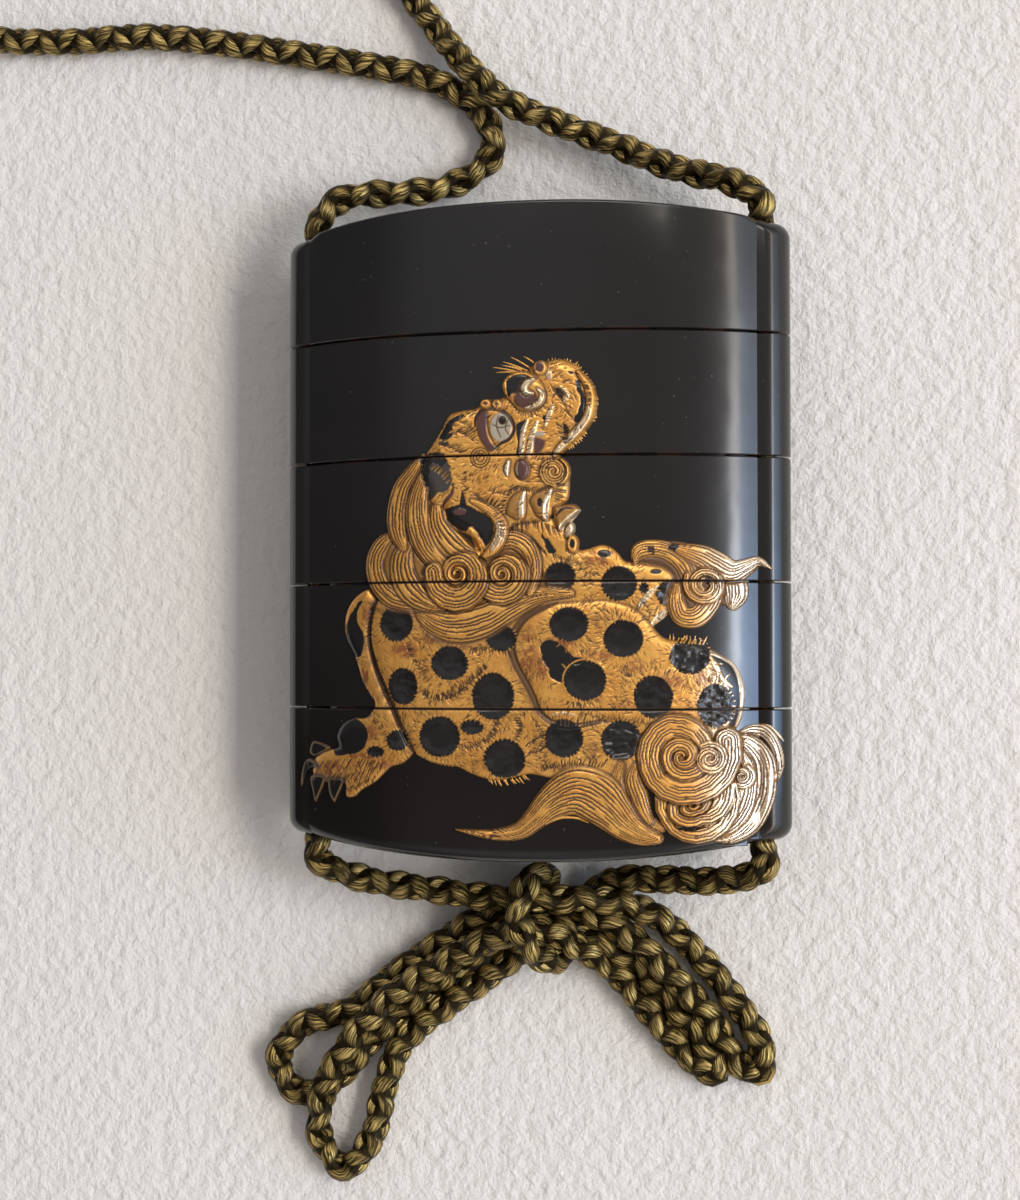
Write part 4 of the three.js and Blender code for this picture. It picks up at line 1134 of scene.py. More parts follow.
# Rows of short hairs: the line their roots stand on, how many, the first and last sweep, the colour.
BODY_COMBS = [
    ([(-23.8, -26.1), (-20.8, -25.8), (-17.7, -25.8), (-15.6, -26)], 16, (-1, -1.19), (-0.89, -1.62), INK),
    ([(-22.6, -27.3), (-19.9, -27.4), (-16.6, -26.5)], 12, (-0.96, -1.27), (-1, -1.39), INK),
    ([(-20.6, -29.1), (-18.8, -28.4), (-16.6, -27.5)], 8, (-0.5, -0.69), (-0.62, -0.77), INK),
    ([(-24.3, -26.7), (-25, -27.9), (-26.4, -29)], 5, (-0.58, -0.58), (-0.39, -0.69), BROWN),
    ([(-17.5, -20.5), (-15.8, -22), (-14.9, -24.2)], 12, (-0.65, -0.5), (-0.69, -0.27), INK),
    ([(-16.6, -7.4), (-17.3, -9.1), (-17.5, -11.6), (-16.8, -14.2), (-15.6, -16.9), (-14.9, -19.3)], 44,
     (-0.58, -0.35), (-0.65, -0.31), INK),
    ([(-10.9, -18.4), (-8.9, -18.9), (-7.1, -18.5), (-5.8, -17.2), (-4.4, -16.1), (-3.3, -15.2)], 34,
     (0.31, 0.85), (-0.42, 0.62), INK),
    ([(-5.2, -13.1), (-3.5, -13), (-0.6, -13.7)], 14, (-0.23, -0.65), (0.23, -0.73), INK),
    ([(-12.9, -12.6), (-12.5, -13.7), (-11.7, -15.2)], 10, (0.65, 0.27), (0.69, -0.19), INK),
    ([(-9.3, -18.4), (-7.9, -17.8), (-6.7, -16.7)], 12, (0.15, -0.58), (0.39, -0.42), INK),
    ([(-2.3, -21.1), (-2.8, -22.2), (-4, -23.3), (-6.2, -24.1)], 18, (0.54, -0.39), (0.27, -0.62), INK),
    ([(0.3, -20.9), (0.6, -21.8), (0.1, -23.1)], 10, (-0.77, -0.08), (-0.69, -0.19), INK),
    ([(1.1, -24.9), (2.4, -24.6), (3.3, -24)], 9, (0.27, 0.5), (0.35, 0.5), INK),
    ([(2.2, -21.8), (2.8, -23.3), (2.4, -24.2)], 9, (0.58, 0.15), (0.54, -0.19), INK),
    ([(-10.5, -25.3), (-9.3, -25.7), (-7.7, -26.1)], 9, (0.31, -0.65), (0.58, -0.5), GOLD),
    ([(-3.5, -27.5), (-2, -27.8), (-0.4, -27.7), (1.1, -27.1)], 13, (0.35, -0.85), (0.58, -0.54), GOLD),
    ([(2.8, -26.7), (4.8, -26.2), (7, -26), (9.7, -26.3)], 26, (-0.32, 0.69), (0.42, 0.69), INK),
    ([(10.3, -27), (10, -29), (10.8, -31), (11.9, -32.4)], 22, (-0.6, 0.09), (-0.51, -0.37), BROWN),
    ([(13.8, -23.3), (16.2, -21.8), (19.2, -22), (20.6, -23.1)], 26, (-0.32, 0.79), (0.42, 0.74), INK),
    ([(17.1, -20.3), (18.5, -21.4), (20.7, -21.4)], 12, (0.23, -0.69), (0.32, -0.69), INK),
    ([(5.7, -19), (7.1, -19.2), (9.3, -18.7)], 12, (-0.23, -0.51), (0.37, -0.51), INK),
    ([(2.6, -20.4), (3.9, -21.3), (7.1, -21.5), (9.7, -21.1)], 20, (0.09, 0.65), (0.23, 0.65), BROWN),
    ([(1, -24), (2.1, -23.3), (3, -22.9)], 7, (0.37, 0.55), (0.46, 0.46), INK),
    ([(15.5, -29.6), (16.8, -30.1), (18.9, -30), (21.7, -29.6)], 16, (-0.14, 0.51), (0.32, 0.46), BROWN),
]
HEAD_COMBS = [
    ([(8, 16.2), (8.4, 14.9), (8.3, 13.6)], 12, (-0.58, 0.12), (-0.54, -0.08), INK),
    ([(4.5, 11.8), (5, 10.3), (5.9, 8.9)], 11, (1.12, -0.65), (0.96, 0.12), INK),
    ([(4.2, 15.5), (5.4, 14), (6.5, 11.8)], 11, (-0.5, 0.77), (-0.65, 0.58), BROWN),
    ([(-0.6, 14.3), (0.3, 13.2), (1.2, 12.9), (2.3, 13.1)], 13, (-0.42, -0.27), (0.27, -0.5), BROWN),
    ([(-6.9, 11), (-5.8, 10.7), (-4.8, 10.1)], 8, (1, 0.46), (0.85, 0.58), INK),
    ([(-8.9, 9.7), (-7.5, 9.2), (-6, 8.6)], 9, (1.19, 0.12), (1.12, 0.27), INK),
    ([(-6.5, 12.1), (-5.6, 11.7), (-4.8, 10.9)], 7, (0.58, 0.27), (0.5, 0.39), BROWN),
    ([(-3.3, 3.3), (-2.5, 2.8), (-1.6, 2.4)], 8, (0.42, 0.69), (0.58, 0.58), INK),
    ([(-0.8, 4), (-1.3, 2.9), (-1.1, 1.7)], 8, (-0.69, 0.15), (-0.58, -0.23), INK),
    ([(-0.9, 4.4), (0.2, 4.9), (1.9, 4.5), (4, 4.9)], 24, (-0.12, -0.54), (0.42, -0.54), INK),
    ([(-0.5, 0.7), (1.1, 1), (3, 0.7), (4.6, 0.1)], 20, (-0.23, -1.08), (0.39, -1.08), INK),
    ([(1.5, -0.7), (2.4, -1.6), (3.2, -2.4)], 8, (0.46, -1.12), (0.35, -0.85), INK),
    ([(3.9, -2.5), (4.9, -3), (6, -3.4)], 9, (0.23, -0.85), (0.08, -0.69), INK),
    ([(4.6, 5.1), (4.5, 4.2), (4.3, 3.2)], 7, (1.12, -0.08), (1.16, -0.5), INK),
    ([(-9.7, 7), (-8.7, 6.4), (-7.8, 5.3)], 7, (0.69, 0.46), (0.5, 0.5), OCHRE),
    ([(-9.5, 3.5), (-8.4, 4), (-7.5, 4.6)], 7, (0.46, 0.62), (0.54, 0.42), OCHRE),
    ([(-2.4, 1.5), (-1.7, 0.4), (-1.8, -1)], 10, (0.62, 0.23), (0.58, -0.27), INK),
    ([(-4, 3.3), (-2.9, 2.5), (-2.1, 1.7)], 8, (0.65, 0.5), (0.65, 0.31), BROWN),
    ([(3, 7), (2.5, 6.3), (2.7, 5.1)], 6, (-0.58, 0.27), (-0.58, -0.19), INK),
    ([(2.2, 8.2), (3.4, 7.9), (4.5, 8)], 8, (-0.39, -0.5), (0.19, -0.54), BROWN),
    ([(7.5, 10.9), (6.5, 9.9), (5.4, 9.1)], 9, (0.42, -0.39), (0.31, -0.5), GOLD),
    ([(-3.3, 4.4), (-2.3, 4.1), (-1.4, 3.9)], 7, (0.39, 0.58), (0.5, 0.5), BROWN),
]
# Creases of the body, darkened with painted shade.
FOLDS = [
    [(-11.3, -17.7, 0.5), (-9.9, -19, 0.6), (-8, -18.7, 0.6), (-6, -17.5, 0.6), (-4.6, -16.2, 0.5),
     (-3.5, -15, 0.4)],
    [(-2.3, -21.2, 0.5), (-3.4, -23.2, 0.6), (-5.6, -24.1, 0.5), (-7, -23.9, 0.3)],
    [(0.3, -21.6, 0.4), (0.2, -22.6, 0.5), (-0.4, -23.4, 0.4)],
    [(-10.6, -14.3, 0.4), (-10.9, -15.6, 0.5), (-10.4, -16.6, 0.4)],
    [(7.3, -20.2, 0.3), (9.8, -20.9, 0.5), (12.2, -21, 0.5), (16, -21.9, 0.5), (19, -22.3, 0.4)],
    [(3, -24.9, 0.4), (3.5, -26.2, 0.5), (5.5, -26.4, 0.4)],
    [(13.8, -8, 0.3), (14.6, -9, 0.4), (14.6, -10.2, 0.3)],
    [(6.6, -3.4, 0.3), (7.6, -4.6, 0.4), (8.8, -5.2, 0.3)],
]
# Worn patches: centre, half width, half height, the colour beneath.
STAINS = [
    (16.8, -16.8, 2.6, 1.2, RUST), (5, -12.6, 2.8, 1.2, RUST), (3, -15, 1.3, 2.2, RUST),
    (9.3, -13.9, 2.2, 0.9, RUST), (12.5, -19.2, 2.2, 0.7, RUST), (-13, -13.4, 2.2, 1.3, RUST),
    (-9.6, -12, 1.6, 1, RUST), (-18, -9.3, 0.7, 1.3, RUST), (-18.1, -16, 0.8, 2.2, RUST),
    (-18, -25.3, 3.4, 0.6, RUST), (-3.8, -26, 2.4, 1, OCHRE), (-1, -20.6, 2.4, 1, OCHRE),
    (8.6, -3.2, 2, 1.2, RUST), (1.4, -12, 1.4, 2.4, OCHRE), (-6.6, -11.9, 2.6, 0.9, OCHRE),
    (-10.4, -16, 1.6, 1.2, OCHRE), (2.4, -23.4, 1.2, 2.2, OCHRE), (20.6, -16.4, 1.6, 1, RUST),
    (-22.6, -27, 2.8, 1.4, RUST), (-17.6, -22.6, 1.8, 1.6, RUST), (-16.2, -26.2, 2.4, 0.9, RUST),
    (1.2, -14, 1.6, 3.4, RUST), (13, -15.2, 1.8, 1, RUST), (9.4, -10, 1.6, 1.4, OCHRE),
    (-11.2, -20.4, 2.6, 0.9, OCHRE), (17.6, -20.6, 2.2, 0.9, RUST), (8.4, -24.6, 1.4, 2.2, OCHRE),
]


def paint_paw(s):
    """Claws of horn, each with a black hollow."""
    for claw in CLAWS:
        s.mass(claw, 0.42, 0.3, HORN)
        x, y = np.mean([p[0] for p in claw]), np.mean([p[1] for p in claw])
        s.blot([(x + (px - x) * 0.66, y + (py - y) * 0.74) for px, py in claw], BLACK, 0.03, 0.04)


TUFT = [
    (13.4, -3.6), (13.6, -2), (15.6, -1.3), (18.2, -1.4), (21, -2.2), (23.6, -3.6), (24.8, -5.4),
    (24.6, -7.6), (23.4, -8.6), (21.8, -8.4), (20.6, -10.2), (18.6, -10.6), (17.2, -9.2), (16.6, -7.4),
    (17.2, -5.2), (15.6, -4),
]


def paint_tuft(s):
    s.mass(TUFT, 0.36, 0.6, BROWN)
    s.band([(13, -3.6, 0.3), (13.5, -2.4, 0.95), (15.2, -2.1, 1), (16.9, -2.5, 1.1), (18.4, -3.7, 1.2),
            (19.2, -5.4, 1.2)], 0.55, count=7)
    s.band([(23, -3.8, 0.5), (23.5, -5.4, 1.2), (23.8, -7, 1.35), (23.5, -8.3, 0.7)], 0.5, count=8)
    s.band([(17.1, -2, 0.4), (18.8, -2.5, 0.95), (20.3, -3, 1.3), (21.8, -3.9, 1.5), (23.4, -4.7, 1.35),
            (24.9, -4.1, 0.95), (26.1, -3.5, 0.6), (27.6, -4.3, 0.08)], 0.62, count=8)
    s.band([(17.6, -6.3, 0.5), (17.5, -8.2, 1), (18.1, -9.6, 1.15), (19.6, -9.7, 1.2), (21, -8.3, 1.1),
            (21.9, -6.7, 0.8)], 0.62, count=7)
    s.curl(20.6, -6.2, 150, 1, [2.6, 2.3, 2, 2.1, 1.9, 1.5, 1.3, 1.1, 0.9, 0.7, 0.5, 0.4, 0.3, 0.2], 0.75,
           0.3)
    s.oval(20.9, -5.6, 0.35, 0.45)
    s.oval(14.9, -2.3, 0.3, 0.4, INK, ragged=0.2)
    s.oval(17.3, -2, 0.6, 0.35, ragged=0.3)


def paint_tail(s):
    """The plume's locks on the right, its long point on the left, then the spirals over them."""
    s.band([(25.5, -21.7, 0.09), (27.1, -21.8, 0.18), (28.2, -22.8, 0.18), (28.7, -23.5, 0.07)], 0.25, ink=0)
    s.band([(24.1, -22.6, 0.3), (25.5, -22.2, 0.6), (26.9, -22.6, 0.7), (27.9, -24.1, 0.6),
            (28.3, -26.1, 0.5), (28.1, -27.8, 0.2)], 0.4, count=4)
    s.band([(22.7, -23.7, 0.5), (24.8, -23.8, 1.2), (26.2, -25.4, 1.5), (26.5, -27.8, 1.6), (26, -30.5, 1.6),
            (24.9, -32.6, 1.4), (23.3, -33.9, 0.9), (21.6, -34.3, 0.3)], 0.55, count=9)
    s.band([(24.2, -24.4, 0.3), (25, -26.4, 0.8), (24.9, -28.8, 1.1), (24.2, -31, 1.2), (22.9, -32.7, 1),
            (21.2, -33.8, 0.5)], 0.65, count=7)
    s.curl(24.4, -27.4, 60, -1, [1.5, 1.4, 1.3, 1.2, 1, 0.8, 0.7, 0.6, 0.45, 0.3, 0.2, 0.15, 0.1], 0.7, 0.3)
    s.band([(11.5, -26, 0.5), (11, -28.1, 0.95), (11.4, -30.1, 1.3), (12.7, -31.7, 1.35),
            (14.5, -32.6, 1.05), (15.9, -33, 0.5)], 0.55, count=7)
    s.band([(13.1, -26, 0.4), (12.8, -27.7, 0.9), (13.4, -29.4, 1.1), (13.9, -30.9, 0.9),
            (14.6, -32.2, 0.5)], 0.62, count=6)
    s.blot([(12, -29.2), (12.7, -29.9), (12.6, -31), (12.2, -31.1), (11.8, -30.4)], ragged=0.15)
    s.band([(-7.2, -33.3, 0.07), (-4.7, -33.7, 0.4), (-2, -33.8, 0.75), (0.3, -33.3, 1.05), (1.9, -32, 1.35),
            (3.4, -30.5, 1.75), (5, -29.4, 2.25), (7, -28.9, 2.75), (8.8, -29.6, 2.85), (10.3, -30.9, 2.4),
            (12.1, -32.7, 1.75), (13.8, -33.7, 1.2), (15.4, -34.1, 0.7)], 0.75, count=13, edge=1.2)
    s.streak([(3.2, -32.6, 0.06), (4.8, -31.9, 0.14), (6.6, -31.9, 0.14), (7.9, -32.4, 0.06)], GOLD, 0.05)
    s.curl(19.2, -30.4, 30, -1, [5.2, 4.6, 3.9, 4.6, 5.2, 2.6, 3, 2.2, 2.3, 1.3, 1.6, 1, 1, 0.7, 0.6, 0.4,
                                 0.3, 0.2, 0.1], 0.8, 0.34)
    s.oval(18.8, -33, 1.2, 0.25)
    s.curl(18.1, -25.1, 20, -1, [6.6, 5.6, 4.85, 4.95, 3.7, 2.9, 2.35, 2.2, 1.9, 1.4, 1, 0.75, 0.5, 0.35,
                                 0.25, 0.15, 0.1], 1.05, 0.34, groove=0.18)
    s.curl(21.1, -25.3, 120, -1, [1.9, 1.9, 1.8, 1.6, 1.3, 1.1, 0.9, 0.7, 0.5, 0.4, 0.3, 0.2, 0.1], 0.95,
           0.3)


MANE = [
    (-11, 8.6), (-13.2, 7.2), (-14.6, 5.2), (-15.2, 3), (-15.2, 0.8), (-15.6, -0.4), (-17.2, -1.6),
    (-17.9, -3.4), (-17.8, -5.2), (-16.8, -7), (-14.4, -8.3), (-12.2, -8.8), (-8.8, -12.2), (-4.6, -12.2),
    (-1.2, -10.4), (3, -7.9), (3.4, -6.8), (2.6, -4), (1.6, -1.4), (-0.4, -0.4), (-2.6, -1.2), (-4.2, -2.2),
    (-6, -0.6), (-8.2, 1.2), (-9.4, 3.4), (-10.2, 5.4),
]


def paint_mane(s):
    # Painted shade on the body under the mane's lower edge.
    s.shade([(-17.4, -8.6, 0.5), (-14.2, -9.2, 0.9), (-12, -9.6, 0.9), (-9.6, -12.2, 0.9), (-6.6, -13, 0.8),
             (-3.4, -12.6, 0.7), (-0.6, -10.8, 0.6), (2.8, -8.6, 0.5)], 0.6)
    s.mass(MANE, 0.42, 0.6, OCHRE)
    s.band([(-11.8, -8.4, 0.5), (-10.3, -9.7, 1.2), (-8.1, -10.6, 1.7), (-5.8, -10.6, 1.9),
            (-3.5, -9.9, 1.8), (-1.4, -8.8, 1.6), (0.7, -7.8, 1.3), (3, -7.2, 0.95), (6, -7.1, 0.5)], 0.72,
           count=9, edge=1)
    s.band([(-14.5, -0.2, 0.42), (-15.9, -1.2, 0.95), (-16.8, -2.7, 1.15), (-16.9, -4.4, 1.2),
            (-16.2, -6.1, 1.2), (-14.7, -7.4, 1.2), (-12.7, -8.1, 0.9), (-10.9, -8.6, 0.4)], 0.62, count=6)
    s.band([(-12.5, -1.2, 0.5), (-13.4, -2.6, 1.2), (-13.5, -4.3, 1.5), (-12.9, -6, 1.6), (-11.7, -7.3, 1.4),
            (-10.1, -8.2, 0.9), (-8.5, -8.6, 0.4)], 0.72, count=6)
    s.band([(-10.9, 8.6, 0.25), (-12.2, 6.8, 0.8), (-13.5, 5, 1.1), (-14.1, 2.9, 1.25), (-14.2, 1, 1.25),
            (-13.9, -0.5, 1.05), (-13.3, -1.8, 0.5)], 0.72, count=6)
    s.band([(-10.3, 7.2, 0.5), (-11.1, 5.2, 1), (-11.6, 3, 1.35), (-11.5, 1, 1.5), (-10.9, -1, 1.5),
            (-9.7, -2.8, 1.35), (-8.2, -4.1, 1)], 0.88, count=8)
    s.band([(-9.2, 3.8, 0.5), (-9.2, 1.3, 1.1), (-8.3, -0.5, 1.5), (-7, -1.9, 1.5), (-5.6, -2.6, 1),
            (-4.4, -2.6, 0.4)], 0.85, count=6)
    s.oval(-10.2, -4.7, 0.9, 0.45, BROWN, ragged=0.3)
    s.band([(-3.5, -3, 0.4), (-2.3, -1.6, 0.8), (-0.6, -1, 1.1), (1, -1.8, 1.15), (1.8, -3.3, 1),
            (1.9, -5.2, 0.8), (1.4, -6.9, 0.5)], 0.80, count=6)
    s.curl(-1.7, -4.9, 185, 1, [3.3, 3.6, 3.2, 2.1, 1.5, 1.3, 1.1, 0.85, 0.6, 0.45, 0.3, 0.2, 0.1], 0.92,
           0.38)
    s.curl(-6.8, -4.8, 175, 1, [4, 4.4, 3.7, 2.35, 1.75, 1.5, 1.2, 0.9, 0.7, 0.5, 0.35, 0.22, 0.1], 1.05,
           0.4, groove=0.16)


HEAD = [
    (-11, 8.1), (-10.6, 8.8), (-9.7, 10), (-8.7, 11.6), (-7.8, 13.1), (-6.5, 13.5), (-4.6, 13.8),
    (-3.9, 14.5), (-2.9, 14.7), (-2, 14.8), (-1.4, 15.1), (-1.7, 16.2), (-1.3, 17.1), (0, 17.7), (1.1, 17.7),
    (1.5, 18.2), (2.3, 18.7), (3.4, 18.8), (4.7, 19), (6.1, 18.6), (7, 18.1), (7.6, 17), (8.2, 16),
    (8.7, 14.7), (8.7, 13.4), (8.3, 11.9), (7.4, 10.8), (6.5, 9.8), (5.5, 9), (4.9, 8.2), (5.5, 7.3),
    (5.9, 6.1), (5.9, 4.8), (5.7, 3.3), (5, 2.6), (3.9, 1.5), (2.2, 0.9), (0, 0.6), (-1.6, -0.5),
    (-2.7, -2.4), (-4, -2.7), (-5, -1), (-6.5, -0.1), (-8.3, 1.3), (-8.6, 2.8), (-9.9, 3.2), (-10.4, 4.7),
    (-11.1, 6.6),
]
EAR_PATCH = [
    (-11.2, 8.3), (-9.7, 8.2), (-8.1, 8.1), (-7.7, 7.2), (-7.4, 5.7), (-7.7, 4.6), (-8.9, 4.2), (-10, 3.6),
    (-10.4, 4.7), (-11, 6.6),
]
EAR_BLACK = [
    (-8.4, 2.4), (-7.5, 2.7), (-6, 2.9), (-4.6, 2.3), (-3.3, 1.6), (-2.6, 0.4), (-2.8, -0.9), (-3.5, -1.8),
    (-4, -1), (-4.8, 0.1), (-5.2, 0.4), (-6.1, -0.1), (-7.3, 0.5), (-8.2, 1.3),
]
SKULL_BLACK = [
    (-8.1, 11.9), (-7.3, 12.7), (-5.9, 13), (-6.5, 12.4), (-7.3, 11.9), (-7.2, 11), (-7.7, 10.3),
    (-8.9, 10.3), (-8.5, 11.3),
]
NOSE = [
    (-1.4, 15.1), (-1.7, 16.2), (-1.2, 17.1), (0, 17.7), (1.3, 17.6), (2.4, 16.8), (3.3, 15.3), (3, 13.9),
    (1.6, 13.1), (-0.2, 13.6),
]
NOSE_BLACK = [
    (-1.1, 16.5), (-0.4, 17.1), (0.6, 17.3), (1.4, 17.1), (1.8, 16.5), (1.1, 16.3), (0.6, 15.8), (0.5, 15.3),
    (0.1, 15.1), (-0.5, 15.1), (-0.8, 14.7), (-1.1, 15.7),
]
MUZZLE_BLACK = [
    (7, 16.4), (7.4, 15.5), (7.8, 14.5), (7.7, 13.4), (7.1, 11.8), (6.5, 12), (7.1, 13.3), (7.2, 14.5),
    (6.7, 16.1),
]
EYE_BROWN = [
    (-4.4, 12.6), (-3.8, 13.2), (-3.2, 13.3), (-3.3, 12.4), (-3.3, 11.1), (-2.9, 9.9), (-2.3, 9.1),
    (-2.8, 8.7), (-3.6, 9.4), (-4.2, 10.5), (-4.5, 11.7),
]
EYE_RIM = [
    (-4.7, 11.6, 0.08), (-4.6, 12.6, 0.12), (-4, 13.4, 0.14), (-2.7, 13.5, 0.14), (-1.5, 13.2, 0.15),
    (-0.5, 12.2, 0.15), (-0.2, 11.2, 0.14), (-0.8, 10.1, 0.13), (-1.8, 9.6, 0.12), (-2.5, 9, 0.08),
]
JAW_BLACK = [
    (0, 11.7), (0.7, 12.1), (1.2, 12.2), (0.7, 10.9), (0.4, 9.7), (0.5, 8.3), (0, 8.3), (0.2, 9.7),
    (0, 10.8),
]
LEAF_A = [(-1.1, 1.7), (-0.8, 3.3), (0, 4.1), (1, 4.4), (1.1, 3.9), (0.9, 1.3), (-0.4, 1.2)]
LEAF_B = [
    (1.5, 3.1), (2.2, 4.1), (3.9, 4.7), (4.2, 4.2), (3.6, 3.3), (3.3, 2), (3.6, 1.1), (3, 1.1), (2, 1.8),
]
TONGUE = [
    (4.1, 2.4), (5.2, 2.8), (6.5, 2.8), (7.1, 2.2), (6.2, 1.2), (5.3, 0.5), (4.9, -0.2), (4.3, 0.7),
    (4.1, 1.6),
]
SMALL_LOBE = [(5.5, -1), (5.5, 0), (5.9, 0.7), (6.4, 0.7), (6.5, -0.2), (5.9, -1)]
WHISKERS = [
    ((0, 17.7), (-2.9, 18.3)),
    ((0, 17.6), (-2.5, 17.7)),
    ((1.1, 17.8), (-1.7, 18.9)),
    ((1.4, 18.1), (-0.8, 19.4)),
    ((1.8, 18.7), (0.7, 19.4)),
    ((0.4, 17.9), (-1.8, 18.5)),
]


EYE_CRACKS = [
    [(-2.7, 11.8, 0.06), (-1.9, 11.4, 0.08), (-0.7, 11.6, 0.06)],
    [(-2, 12.7, 0.06), (-2.2, 11.6, 0.08), (-1.7, 10.3, 0.06)],
    [(-0.8, 12.4, 0.06), (-1.2, 11.3, 0.08), (-0.8, 10.6, 0.06)],
]
MOUTH_STROKES = [
    [(4.2, 13.8, 0.12), (3.8, 12.9, 0.27), (3.5, 12.1, 0.2), (3.3, 11.5, 0.1)],
    [(1.3, 12.2, 0.12), (0.8, 11, 0.27), (0.7, 9.5, 0.3), (0.5, 8.3, 0.22)],
    [(2.4, 11.9, 0.15), (1.8, 10.4, 0.3), (1.6, 9.3, 0.34), (1.4, 8.2, 0.26)],
]
# Ovals: centre, half width, half height.
BROW_KNOBS = [(-3.5, 14.15, 0.5, 0.38), (-2.2, 14.05, 0.38, 0.4)]
MUZZLE_PATCHES = [
    (6.3, 17.3, 0.35, 0.28), (7, 16.2, 0.3, 0.25), (5.6, 11.1, 0.35, 0.5), (3.2, 12.4, 0.3, 0.3),
]


def paint_head(s):
    s.mass(HEAD, 1, 1.4, groove=0.14)
    paint_cheek(s)
    paint_ear(s)
    paint_eye(s)
    paint_nose(s)
    paint_lip(s)
    paint_teeth(s)
    paint_jaw(s)


def paint_cheek(s):
    s.curl(4.3, 6.4, 60, -1, [1.75, 1.75, 1.75, 1.7, 1.35, 1.2, 1.1, 1, 0.7, 0.5, 0.4, 0.3, 0.2, 0.1], 1.1,
           0.34, groove=0.05)
    for radius in (0.45, 0.8, 1.1):
        ring = ellipse(-4.1, 8.1, radius, radius, np.linspace(0.3, 2 * math.pi, 14))
        s.streak([(x, y, 0.085) for x, y in ring], INK, -0.04)


def paint_ear(s):
    s.blot(EAR_PATCH, GREY, 0.06, ragged=0.15)
    s.blot([(-11.1, 8.3), (-8.1, 8.1), (-8.6, 7.2), (-9.6, 7.6), (-10.2, 6.4), (-10, 5.2), (-10.4, 4.9),
            (-11, 6.6)], ragged=0.2)
    s.streak([(-7.3, 5.2, 0.12), (-7.4, 4.2, 0.22), (-8.2, 3.3, 0.22), (-8.6, 2.8, 0.1)], MAROON, -0.08)
    s.blot([(-6.2, 4.6), (-5.7, 2.5), (-6.7, 2.7)])
    s.band([(-5.1, 3.3, 0.25), (-3.6, 2.6, 0.5), (-2.3, 1.6, 0.65), (-1.7, 0.4, 0.75), (-1.9, -0.9, 0.75),
            (-2.6, -2.1, 0.65), (-3.6, -2.8, 0.35)], 1.15, count=4, ink=0.3)
    # A pale streak: painted highlight on the ear's rim.
    s.streak([(-2, 0.9, 0.2), (-1.7, 0, 0.5), (-2, -1.1, 0.5), (-2.6, -2, 0.3)], PALE_HIGHLIGHT, 0.05, 0.8)
    s.blot(EAR_BLACK, dip=0.25, ragged=0.05)
    s.oval(-6.5, 2.1, 0.8, 0.36, MAROON, dip=-0.05)
    s.streak([(-5.4, 0.2, 0.2), (-4.8, -1, 0.4), (-4.1, -2.5, 0.35)], GOLD, 0.12)
    for k in range(3):
        s.streak([(-5.0 + 0.2 * k, 4.3 - 0.35 * k, 0.05), (-4.1 + 0.2 * k, 3.7 - 0.3 * k, 0.08),
                  (-3.3 + 0.2 * k, 3.4 - 0.3 * k, 0.04)], INK, -0.05)


def paint_jaw(s):
    """The leaf-shaped teeth of the lower jaw, the tongue and the beard."""
    s.mass(LEAF_A, 1.15, 0.7, OCHRE)
    # The pale streaks and the pale lobe here are painted highlights.
    s.streak([(1, 4.2, 0.1), (0.6, 3, 0.26), (0.6, 1.5, 0.26)], PALE_HIGHLIGHT, 0.10)
    s.mass(LEAF_B, 1.15, 0.7, OCHRE)
    s.oval(2.7, 3, 0.28, 0.52)
    s.streak([(4, 4.5, 0.1), (3.4, 2.9, 0.34), (3.3, 1.3, 0.3)], PALE_HIGHLIGHT, 0.10)
    s.mass(TONGUE, 1.05, 0.6, OCHRE)
    s.streak([(4.5, 1.5, 0.08), (5.3, 2.3, 0.18), (6.5, 2.3, 0.08)], INK, -0.10)
    s.streak([(7, 2.1, 0.12), (5.9, 1.1, 0.34), (5, 0.1, 0.26)], PALE_HIGHLIGHT, 0.10)
    s.mass(SMALL_LOBE, 1, 0.4, PALE_HIGHLIGHT)
    s.knob(6.3, -1.6, 0.68, 1.05, 10, 0.95, 0.35)
    s.oval(6.25, -1.6, 0.3, 0.52, dip=0.15)
    s.blot([(2.7, -0.5), (3.6, -1.1), (4.4, -2.5), (3.7, -2.6), (3, -1.3)], ragged=0.1)


def paint_eye(s):
    s.oval(-1.7, 11.45, 1.25, 1.62, CREAM, dip=-0.10)
    s.blot(EYE_BROWN, MAROON, -0.12)
    s.streak([(x, y, 1.5 * width) for x, y, width in EYE_RIM], INK, -0.10)
    s.streak([(-3.2, 13.2, 0.09), (-3.25, 12, 0.1), (-3, 10.6, 0.1), (-2.3, 9.4, 0.08)], INK, -0.08)
    s.oval(-1.5, 12.2, 0.48, 0.5, INK, dip=0.02)
    s.oval(-1.5, 12.2, 0.26, 0.28, dip=-0.04)
    for path in EYE_CRACKS:
        s.streak(path, BROWN, -0.03)
    for x, y, rx, ry in BROW_KNOBS:
        s.knob(x, y, rx + 0.2, ry + 0.2, 9, 1.1, 0.3, groove=0.06, last=5.7)
        s.oval(x, y, rx * 0.55, ry * 0.55, MAROON)
    s.blot(SKULL_BLACK, dip=0.06, ragged=0.1)
    s.oval(-8.4, 9.9, 0.7, 0.3, GREY, ragged=0.2)
    s.blot([(-10.6, 8.6), (-9, 8.9), (-8.2, 8.4), (-9.6, 8.35)], ragged=0.1)
    s.blot(JAW_BLACK, dip=0.10)


